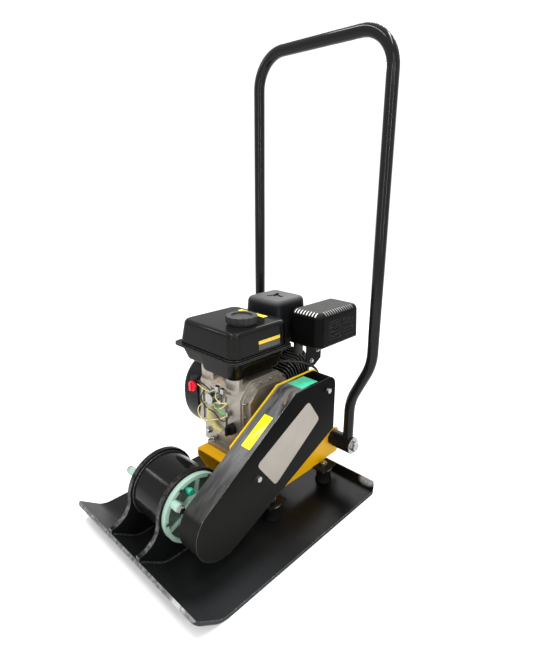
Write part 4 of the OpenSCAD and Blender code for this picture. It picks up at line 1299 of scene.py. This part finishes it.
@dataclass(frozen=True)
class Lamp:
    """A soft light: its place, its aim and the sides of its rectangle in metres, its power in watts."""

    name: str
    spot: Point
    aim: Point
    size: Pair
    power: float

    def place(self) -> None:
        """Sets the light in the scene."""
        data = bpy.data.lights.new(self.name, "AREA")
        data.shape, data.energy = "RECTANGLE", self.power
        data.size, data.size_y = self.size
        lamp = put(self.name, data)
        lamp.location = self.spot
        lamp.rotation_euler = (Vector(self.aim) - Vector(self.spot)).to_track_quat("-Z", "Y").to_euler()


@dataclass
class Studio:
    """Camera, lights and floor, in metres."""

    spot: Point = (0.65627, 0.72984, 0.76549)
    yaw: float = -2.3854
    pitch: float = -0.2964
    roll: float = 0.0063
    sensor: float = 36.0
    lens: float = 25.462
    shift: Pair = (-0.0018, -0.004)
    clip: Pair = (0.02, 60.0)
    lamps: tuple[Lamp, ...] = (
        Lamp("front_strip", (0.55, -0.35, 2.4), (0.1, 0.0, 0.3), (1.5, 0.16), 26.0),
        Lamp("side_strip", (-0.5, 0.75, 2.4), (0.0, 0.0, 0.3), (1.5, 0.16), 22.0),
        Lamp("key", (1.5, 1.7, 1.9), (0.0, 0.0, 0.3), (0.9, 0.9), 10.0),
        Lamp("tall_front", (2.2, 0.8, 1.0), (0.0, 0.0, 0.4), (0.06, 1.4), 13.0),
        Lamp("tall_side", (0.6, 2.2, 1.0), (0.0, 0.0, 0.4), (0.06, 1.4), 13.0),
        Lamp("back", (-1.9, -1.1, 1.7), (0.0, 0.0, 0.5), (1.2, 0.6), 16.0),
        Lamp("tube_streak", (1.17, -1.8, 1.6), (0.2, 0.0, 0.15), (0.2, 0.2), 2.2),
    )
    sky: float = 1.1
    half_floor: float = 9.0
    floor_colour: Colour = (0.92, 0.92, 0.915)
    floor_roughness: float = 0.8

    def camera(self) -> None:
        """Sets the camera where the photograph was taken."""
        level = math.cos(self.pitch)
        ahead = Vector((level * math.cos(self.yaw), level * math.sin(self.yaw), math.sin(self.pitch)))
        right = ahead.cross(Vector(UP)).normalized()
        up = right.cross(ahead)
        c, s = math.cos(self.roll), math.sin(self.roll)
        right, up = right * c + up * s, up * c - right * s
        data = bpy.data.cameras.new("camera")
        data.sensor_width, data.lens = self.sensor, self.lens
        data.shift_x, data.shift_y = self.shift
        data.clip_start, data.clip_end = self.clip
        eye = put("camera", data)
        turn = Matrix((right, up, -ahead)).transposed().to_4x4()
        eye.matrix_world = Matrix.Translation(self.spot) @ turn
        bpy.context.scene.camera = eye

    def floor(self) -> None:
        """Lays the pale floor."""
        reach = (-self.half_floor, self.half_floor)
        mesh = bpy.data.meshes.new("floor")
        mesh.from_pydata([(x, y, 0.0) for x, y in corners(reach, reach)], [], [(0, 1, 2, 3)])
        pale = Shader("floor_pale")
        looks = {"Base Color": (*self.floor_colour, 1.0), "Roughness": self.floor_roughness}
        surface = pale.node("ShaderNodeBsdfPrincipled", {}, looks)
        pale.node("ShaderNodeOutputMaterial", {}, {0: surface})
        mesh.materials.append(pale.material)
        put("floor", mesh)

    def build(self) -> None:
        """Makes the camera, the lights, the floor and the backdrop."""
        self.camera()
        for lamp in self.lamps:
            lamp.place()
        world = bpy.data.worlds.new("studio")
        bpy.context.scene.world = world
        world.use_nodes = True
        background = world.node_tree.nodes["Background"]
        background.inputs["Color"].default_value = (1.0, 1.0, 1.0, 1.0)
        background.inputs["Strength"].default_value = self.sky
        self.floor()
        settings = bpy.context.scene.view_settings
        settings.view_transform, settings.look = "Standard", "None"


@dataclass(frozen=True)
class Rounded:
    """A solid whose edges are rounded, by a radius in millimetres and a number of steps."""

    node: str
    finish: Finish
    edge: float
    segments: int = 3


@dataclass
class SubAssembly:
    """Solids that are rounded, replaced by screws, or dressed as they are."""

    rounded: tuple[Rounded, ...] = ()
    screws: tuple[tuple[str, Axis], ...] = ()
    plain: tuple[tuple[str, Finish], ...] = ()

    def build(self) -> None:
        """Rounds the solids and sets the screws."""
        for solid in self.rounded:
            soften(solid.node, solid.finish, solid.edge, solid.segments)
        for node, axis in self.screws:
            Screws(axis).replace(node, ZINC)

    def dress(self) -> None:
        """Gives the solids that stay as they are their finish."""
        for node, finish in self.plain:
            mesh = frame["nodes"][node].data
            mesh.materials.clear()
            mesh.materials.append(finish.material())
            LOG.info("%s is dressed as it is", node)


@dataclass
class PlateAndExciter(SubAssembly):
    """Base plate, ribs, exciter and its covers."""

    rounded: tuple[Rounded, ...] = (
        Rounded("base_plate", PLATE_BLACK, 1.2),
        Rounded("exciter_ribs", RIB_BLACK, 1.2),
        Rounded("exciter_tube", GLOSS_BLACK, 1.0),
        Rounded("exciter_cover_left", MINT, 1.4),
        Rounded("exciter_cover_right", MINT, 1.4),
        Rounded("oil_filler", ZINC, 0.6),
        Rounded("breather_cap", EMERALD, 1.2),
        Rounded("cover_bolts", ZINC, 0.5),
        Rounded("mount_feet", FOOT_BLACK, 0.5),
    )
    plain: tuple[tuple[str, Finish], ...] = (
        ("exciter_shaft", STEEL),
        ("exciter_bearings", STEEL),
        ("eccentric_weight", STEEL),
        ("pulley_bolt", STEEL),
        ("exciter_pulley", IRON),
        ("shaft_seal", RUBBER),
    )
    exciter: Pair = (180.0, 108.0)
    tube_r: float = 75.0
    rib_faces: tuple[float, ...] = (-83.0, -71.0, 27.0, 39.0)
    plate_t: float = 8.0
    foot_start: float = 62.0
    bend: Pair = (238.0, 60.0)
    bend_steps: int = 6
    nose_angle: float = NOSE_ANGLE
    nose_run: float = 44.0
    foot_bead: WeldBead = WeldBead()
    ring_bead: WeldBead = WeldBead(radius=1.8, pitch=1.6)
    ring_steps: int = 48

    def foot_line(self, y: float) -> list[Point]:
        """Finds where a rib's face meets the plate.

        Args:
            y: where the rib's face stands.

        Returns:
            The line from the rear of its foot to the nose.
        """
        bend_x, bend_z = self.bend
        radius = bend_z - self.plate_t
        line = [(self.foot_start, y, self.plate_t), (bend_x, y, self.plate_t)]
        for i in range(1, self.bend_steps + 1):
            turn = self.nose_angle * i / self.bend_steps
            line.append((bend_x + radius * math.sin(turn), y, bend_z - radius * math.cos(turn)))
        x, _, z = line[-1]
        run, rise = self.nose_run * math.cos(self.nose_angle), self.nose_run * math.sin(self.nose_angle)
        return [*line, (x + run, y, z + rise)]

    def ring_line(self, y: float) -> list[Point]:
        """Finds where the tube meets a rib's face.

        Args:
            y: where the rib's face stands.

        Returns:
            The closed line round the tube.
        """
        x, z = self.exciter
        turns = [2 * math.pi * i / self.ring_steps for i in range(self.ring_steps + 1)]
        return [(x + self.tube_r * math.cos(t), y, z + self.tube_r * math.sin(t)) for t in turns]

    def build(self) -> None:
        """Rounds the main pieces and lays the welds."""
        super().build()
        inner = self.rib_faces[1:-1]
        for i, y in enumerate(self.rib_faces):
            foot = self.foot_bead.bake(self.foot_line(y), RIB_BLACK)
            piece(f"foot_weld_{i}", foot, RIB_BLACK, "base")
            if y in inner:
                ring = self.ring_bead.bake(self.ring_line(y), RIB_BLACK)
                piece(f"ring_weld_{i}", ring, RIB_BLACK, "base")


@dataclass
class DeckAndMounts(SubAssembly):
    """Yellow deck on its rubber mounts."""

    rounded: tuple[Rounded, ...] = (
        Rounded("engine_deck", DECK_YELLOW, 1.2),
        Rounded("guard_back_plate", BACK_YELLOW, 0.6),
        Rounded("mount_studs", ZINC, 0.5),
    )
    mount_edge: float = 1.0

    def build(self) -> None:
        """Rounds the deck and the rubber mounts, which ride on no body."""
        super().build()
        mounts = soften("rubber_mounts", RUBBER, self.mount_edge, rides=False)
        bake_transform(mounts)


@dataclass
class BeltGuard(SubAssembly):
    """Belt guard, its plain plate and stickers, and the belt inside."""

    rounded: tuple[Rounded, ...] = (Rounded("belt_guard", GUARD_BLACK, 2.0),)
    screws: tuple[tuple[str, Axis], ...] = (("guard_bolts", Axis.Y),)
    plain: tuple[tuple[str, Finish], ...] = (
        ("clutch_drum", IRON),
        ("clutch_bolt", STEEL),
        ("crankshaft", STEEL),
    )
    face_y: float = 142.0
    plate_spots: tuple[Pair, ...] = ((88.0, 207.0), (32.0, 132.0), (-116.0, 236.0), (-75.0, 294.5))
    plate_t: float = 0.8
    plate_corner: float = 11.0
    bend: Pair = (-31.0, 330.0)
    slope: Pair = GUARD_SLOPE
    slope_sticker: tuple[Pair, Pair] = ((72.0, 155.0), (106.0, 131.0))
    top_sticker: tuple[Pair, Pair] = ((-112.0, -56.0), (94.0, 137.0))
    sticker_t: float = 0.3
    sticker_corner: float = 1.0
    belt_edge: float = 0.8
    pulley: Point = (0.18, 0.0, 0.108)
    clutch: Point = (-0.062, 0.0, 0.25)

    def on_slope(self, along: float, y: float) -> Point:
        """A place on the guard's sloped wall."""
        return (self.bend[0] + self.slope[0] * along, y, self.bend[1] + self.slope[1] * along)

    def build(self) -> None:
        """Rounds the guard and the belt, which rides on no body, and sets the guard's plate and plain
        stickers.
        """
        super().build()
        spots = [(x, self.face_y, z) for x, z in self.plate_spots]
        piece("guard_plate", plate(spots, self.plate_t, self.plate_corner), NAME_PLATE, "deck")
        sloped = [self.on_slope(along, y) for along, y in corners(*self.slope_sticker)]
        level = [(x, y, self.bend[1]) for x, y in corners(*self.top_sticker)]
        for name, spots, finish in (
            ("slope_sticker", sloped, STICKER_YELLOW),
            ("top_sticker", level, STICKER_GREEN),
        ):
            piece(name, plate(spots, self.sticker_t, self.sticker_corner), finish, "deck")
        belt = soften("v_belt", RUBBER, self.belt_edge, rides=False)
        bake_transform(belt)


@dataclass(frozen=True)
class Run:
    """A wire or hose on the engine: its finish, its radius and the points that it passes."""

    name: str
    finish: Finish
    radius: float
    points: tuple[Point, ...]


@dataclass
class Engine(SubAssembly):
    """Crankcase, cylinder, fan housing, starter, small controls and wiring."""

    rounded: tuple[Rounded, ...] = (
        Rounded("crankcase", CAST, 2.5),
        Rounded("crankcase_cover", CAST, 2.0),
        Rounded("cylinder_barrel", FIN_BLACK, 0.6, 2),
        Rounded("cylinder_head", FIN_BLACK, 0.6, 2),
        Rounded("valve_cover", FIN_BLACK, 1.0),
        Rounded("fan_housing", SHELL_BLACK, 3.0),
        Rounded("recoil_cover", SHELL_BLACK, 1.2),
        Rounded("starter_grip", SHELL_BLACK, 1.0),
        Rounded("switch_box", SHELL_BLACK, 1.5),
        Rounded("switch_knob", RED, 1.0),
        Rounded("spark_plug", RUBBER, 1.0),
        Rounded("oil_sensor", ZINC, 0.8),
        Rounded("oil_dipstick", SHELL_BLACK, 0.8),
    )
    screws: tuple[tuple[str, Axis], ...] = (
        ("case_cover_bolts", Axis.Y),
        ("engine_bolts", Axis.Z),
        ("drain_bolt", Axis.X),
    )
    plain: tuple[tuple[str, Finish], ...] = (("starter_rope", ROPE), ("flywheel", IRON))
    runs: tuple[Run, ...] = (
        Run("switch_wire", WIRE_BLACK, 1.7, (
            (40, -111, 300), (47, -98, 309), (49, -72, 306), (45, -58, 297),
        )),
        Run("earth_wire", WIRE_YELLOW, 1.1, (
            (43, -110, 296), (50, -92, 300), (50, -74, 296), (44, -62, 292),
        )),
        Run("small_loop", WIRE_YELLOW, 1.2, (
            (40, -42, 298), (52, -30, 290), (53, -12, 283), (50, 6, 287), (50, -14, 268), (47, -40, 258),
            (39, -52, 262),
        )),
        Run("big_loop", WIRE_YELLOW, 1.2, (
            (39, -78, 262), (50, -97, 244), (53, -97, 226), (52, -80, 214), (51, -48, 226), (50, -12, 243),
            (42, 2, 256),
        )),
        Run("green_wire", WIRE_GREEN, 3.0, ((45, -36, 262), (50, -24, 262), (50, -10, 256), (42, 0, 254))),
        Run("black_loop", WIRE_BLACK, 1.5, (
            (40, -84, 290), (50, -88, 270), (51, -70, 252), (52, -40, 250), (52, -14, 238), (50, 4, 244),
            (42, 4, 256),
        )),
        Run("clear_sleeve", SLEEVE, 7.0, ((46, -62, 252), (48, -58, 232), (46, -50, 212), (40, -26, 198))),
        Run("plug_lead", WIRE_BLACK, 3.2, (
            (-187, 68, 298), (-186, 80, 306), (-170, 82, 330), (-146, 66, 346), (-120, 40, 350),
            (-96, 20, 352),
        )),
        Run("fuel_hose", WIRE_BLACK, 4.0, (
            (-92, -100, 366), (-100, -101, 353), (-122, -99, 347), (-150, -95, 345),
        )),
    )
    lugs: tuple[Point, ...] = ((46, -30, 305), (46, -12, 304), (44, 2, 250))
    lug_sizes: tuple[Pair, ...] = ((9, 13), (8, 11), (7, 9))
    lug_levels: tuple[float, ...] = (0.0, 1.0, 11.0, 12.0)
    lug_corner: float = 2.0
    lug_steps: int = 4

    def build(self) -> None:
        """Rounds the engine's pieces and clips its wires, a clear sleeve and the plug lead to it."""
        super().build()
        for run in self.runs:
            wire = Wire(run.radius).sweep(curved(run.points), run.finish)
            piece(run.name, wire, run.finish, "deck")
        for i, ((x, y, z), size) in enumerate(zip(self.lugs, self.lug_sizes)):
            middles = [(x, y, z + level) for level in self.lug_levels]
            rings = [rounded_ring(middle, size, self.lug_corner, self.lug_steps) for middle in middles]
            piece(f"lug_{i}", loft(rings), ZINC, "deck")


@dataclass
class FuelAndAir(SubAssembly):
    """Fuel tank, cap, carburettor and air cleaner."""

    rounded: tuple[Rounded, ...] = (
        Rounded("fuel_cap", CAP_GREY, 1.2),
        Rounded("carburettor", CAST, 1.0),
        Rounded("throttle_lever", SHELL_BLACK, 0.6),
        Rounded("choke_lever", SHELL_BLACK, 0.6),
        Rounded("fuel_valve_lever", SHELL_BLACK, 0.6),
        Rounded("air_cleaner_base", SHELL_BLACK, 1.2),
        Rounded("air_cleaner_cover", FILTER_GREY, 1.0),
    )
    plain: tuple[tuple[str, Finish], ...] = (("air_filter", FOAM),)
    tank_edge: float = 1.2
    tank_angle: float = 40.0
    side_y: float = 47.0
    top_z: float = 459.9
    seam_z: float = 400.0
    foot_z: float = 350.0
    right_y: Pair = (40.0, 150.0)
    rear_x: Pair = (10.0, 105.0)
    lean: float = 6.0
    spread: float = 7.0
    side_labels: tuple[tuple[str, Finish, Pair], ...] = (
        ("side_label", LABEL_AMBER, (422.0, 430.0)),
        ("side_label_low", LABEL_DARK, (408.0, 421.0)),
    )
    side_x: Pair = (-12.0, -80.0)
    side_t: float = 1.2
    top_label: tuple[Pair, Pair] = ((-93.0, -79.0), (-96.0, -5.0))
    top_t: float = 0.4
    label_corner: float = 1.0

    def tank_form(self, p: Vector) -> Vector:
        """Spreads the tank at its seam and leans its right wall in towards the top.

        Args:
            p: a point of the tank, in millimetres.

        Returns:
            Where the point goes.
        """
        rise = eased(p.z, self.seam_z, self.top_z)
        fall = eased(-p.z, -self.seam_z, -self.foot_z)
        right, rear = eased(-p.y, *self.right_y), eased(-p.x, *self.rear_x)
        out = self.spread * (1.0 - fall)
        return Vector((p.x - rear * out, p.y - right * (out - (self.spread + self.lean) * rise), p.z))

    def build(self) -> None:
        """Rounds the pieces and sets the tank's plain labels."""
        super().build()
        soften("fuel_tank", TANK_BLACK, self.tank_edge, angle=self.tank_angle, form=self.tank_form)
        for name, finish, heights in self.side_labels:
            side = [(x, self.side_y, z) for x, z in corners(self.side_x, heights)]
            piece(name, plate(side, self.side_t, self.label_corner), finish, "deck")
        top = [(x, y, self.top_z) for x, y in corners(*self.top_label)]
        piece("top_label", plate(top, self.top_t, self.label_corner), STICKER_YELLOW, "deck")


@dataclass
class Exhaust(SubAssembly):
    """Muffler in its slotted guard, on its bracket."""

    rounded: tuple[Rounded, ...] = (Rounded("muffler_guard", SHIELD_BLACK, 0.5, 2),)
    plain: tuple[tuple[str, Finish], ...] = (("exhaust_pipe", SOOTY),)
    draft: float = 2.0
    edge_r: float = 16.0
    under: float = 1.0
    floor_t: float = 3.0
    floor_gap: float = 1.0
    floor_corner: float = 15.0
    shell_gap: float = 6.0
    shell_corner: float = 12.0
    overlap: float = 2.0
    least_corner: float = 2.0
    shoulder_start: float = math.radians(12)
    shoulder_steps: int = 8
    bracket: tuple[Pair, ...] = (
        (-188.0, 380.0), (-188.0, 312.0), (-216.0, 308.0), (-246.0, 326.0), (-246.0, 380.0)
    )
    bracket_y: float = 37.0
    bracket_t: float = 4.0
    bracket_corner: float = 4.0
    tab_spot: Pair = (-219.0, 52.0)
    tab_size: Pair = (40.0, 30.0)
    tab_t: float = 3.0
    tab_corner: float = 4.0
    bolt_spots: tuple[Pair, ...] = ((-206.0, 328.0), (-230.0, 352.0))
    bolt_size: ScrewSize = ScrewSize(5.0, 4.0, 6.5, 1.2)

    def shell(self) -> bpy.types.Mesh:
        """Draws the muffler's pressed shell, whose shoulder shows in the guard's slots.

        Returns:
            The shell's mesh.
        """
        low, high = (Vector(c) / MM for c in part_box("muffler_guard"))
        middle, length, width = (low + high) / 2, high.x - low.x, high.y - low.y
        base, reach = high.z - self.edge_r, self.edge_r - self.under
        levels = [
            (low.z - self.floor_t, self.floor_gap, self.floor_corner),
            (low.z, self.floor_gap, self.floor_corner),
            (low.z, self.shell_gap, self.shell_corner),
            (base + self.overlap, self.shell_gap, self.shell_corner),
        ]
        for i in range(self.shoulder_steps + 1):
            turn = self.shoulder_start + (math.pi / 2 - self.shoulder_start) * i / self.shoulder_steps
            side, rise = reach * math.cos(turn), reach * math.sin(turn)
            levels.append((base + rise, self.draft + self.edge_r - side, self.least_corner + side))
        return loft([
            rounded_ring((middle.x, middle.y, z), (length - 2 * gap, width - 2 * gap), corner)
            for z, gap, corner in levels
        ])

    def carry(self, body: str) -> None:
        """Bolts a bracket with a level tab between the cylinder head and the muffler's floor.

        Args:
            body: body that the bracket rides on.
        """
        spots = [(x, self.bracket_y, z) for x, z in self.bracket]
        bracket = plate(spots, self.bracket_t, self.bracket_corner)
        piece("muffler_bracket", bracket, SHIELD_BLACK, body)
        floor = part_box("muffler")[0].z / MM
        middles = [(*self.tab_spot, z) for z in (floor - self.tab_t, floor)]
        tab = loft([rounded_ring(middle, self.tab_size, self.tab_corner) for middle in middles])
        piece("bracket_tab", tab, SHIELD_BLACK, body)
        places = [(x, self.bracket_y + self.bracket_t, z) for x, z in self.bolt_spots]
        piece("bracket_bolts", Screws(Axis.Y).bake(places, self.bolt_size, ZINC), ZINC, body)

    def build(self) -> None:
        """Rounds the guard, fills it with the muffler's shell and sets the bracket."""
        super().build()
        body = body_of("muffler")
        piece("muffler_dressed", self.shell(), MUFFLER, body, ["muffler"])
        self.carry(body)


@dataclass
class Handle(SubAssembly):
    """Folding handle on its pivot."""

    rounded: tuple[Rounded, ...] = (
        Rounded("handle_sleeves", GLOSS_BLACK, 0.8),
        Rounded("handle_bushes", RUBBER, 0.6),
        Rounded("pivot_bolts", ZINC, 0.8),
        Rounded("pivot_spacers", GLOSS_BLACK, 0.5),
    )
    pivot: Pair = (-252.0, 106.0)
    radius: float = 13.5
    sides: int = 40
    start: float = 16.0
    half_w: Pair = (135.0, 191.0)
    bend_z: Pair = (124.0, 239.0)
    top: float = 960.0
    low_bend: float = 140.0
    top_bend: float = 80.0

    def tube_line(self) -> list[Point]:
        """Draws the middle of the tube.

        Returns:
            The line from one sleeve to the other.
        """
        (low, wide), (z0, z1) = self.half_w, self.bend_z
        half = [(low, self.start), (low, z0), (wide, z1), (wide, self.top)]
        x, z = self.pivot
        spots = [(x, y, z + up) for y, up in (*half, *((-y, up) for y, up in half[::-1]))]
        bends = [self.low_bend, self.low_bend, self.top_bend]
        return bent_line(spots, [*bends, *bends[::-1]])

    def build(self) -> None:
        """Sweeps the tube and rounds its pivot."""
        super().build()
        tube = Wire(self.radius, self.sides).sweep(self.tube_line(), TUBE_BLACK)
        piece("handle_tube_dressed", tube, TUBE_BLACK, body_of("handle_tube"), ["handle_tube"])


def main() -> None:
    """Builds the studio and every sub-assembly in order."""
    logging.basicConfig(level=logging.INFO, format="%(message)s")
    Studio().build()
    for part in (
        PlateAndExciter(), DeckAndMounts(), BeltGuard(), Engine(), FuelAndAir(), Exhaust(), Handle()
    ):
        part.build()
        part.dress()
        LOG.info("%s done", type(part).__name__)


if __name__ == "__main__":
    main()
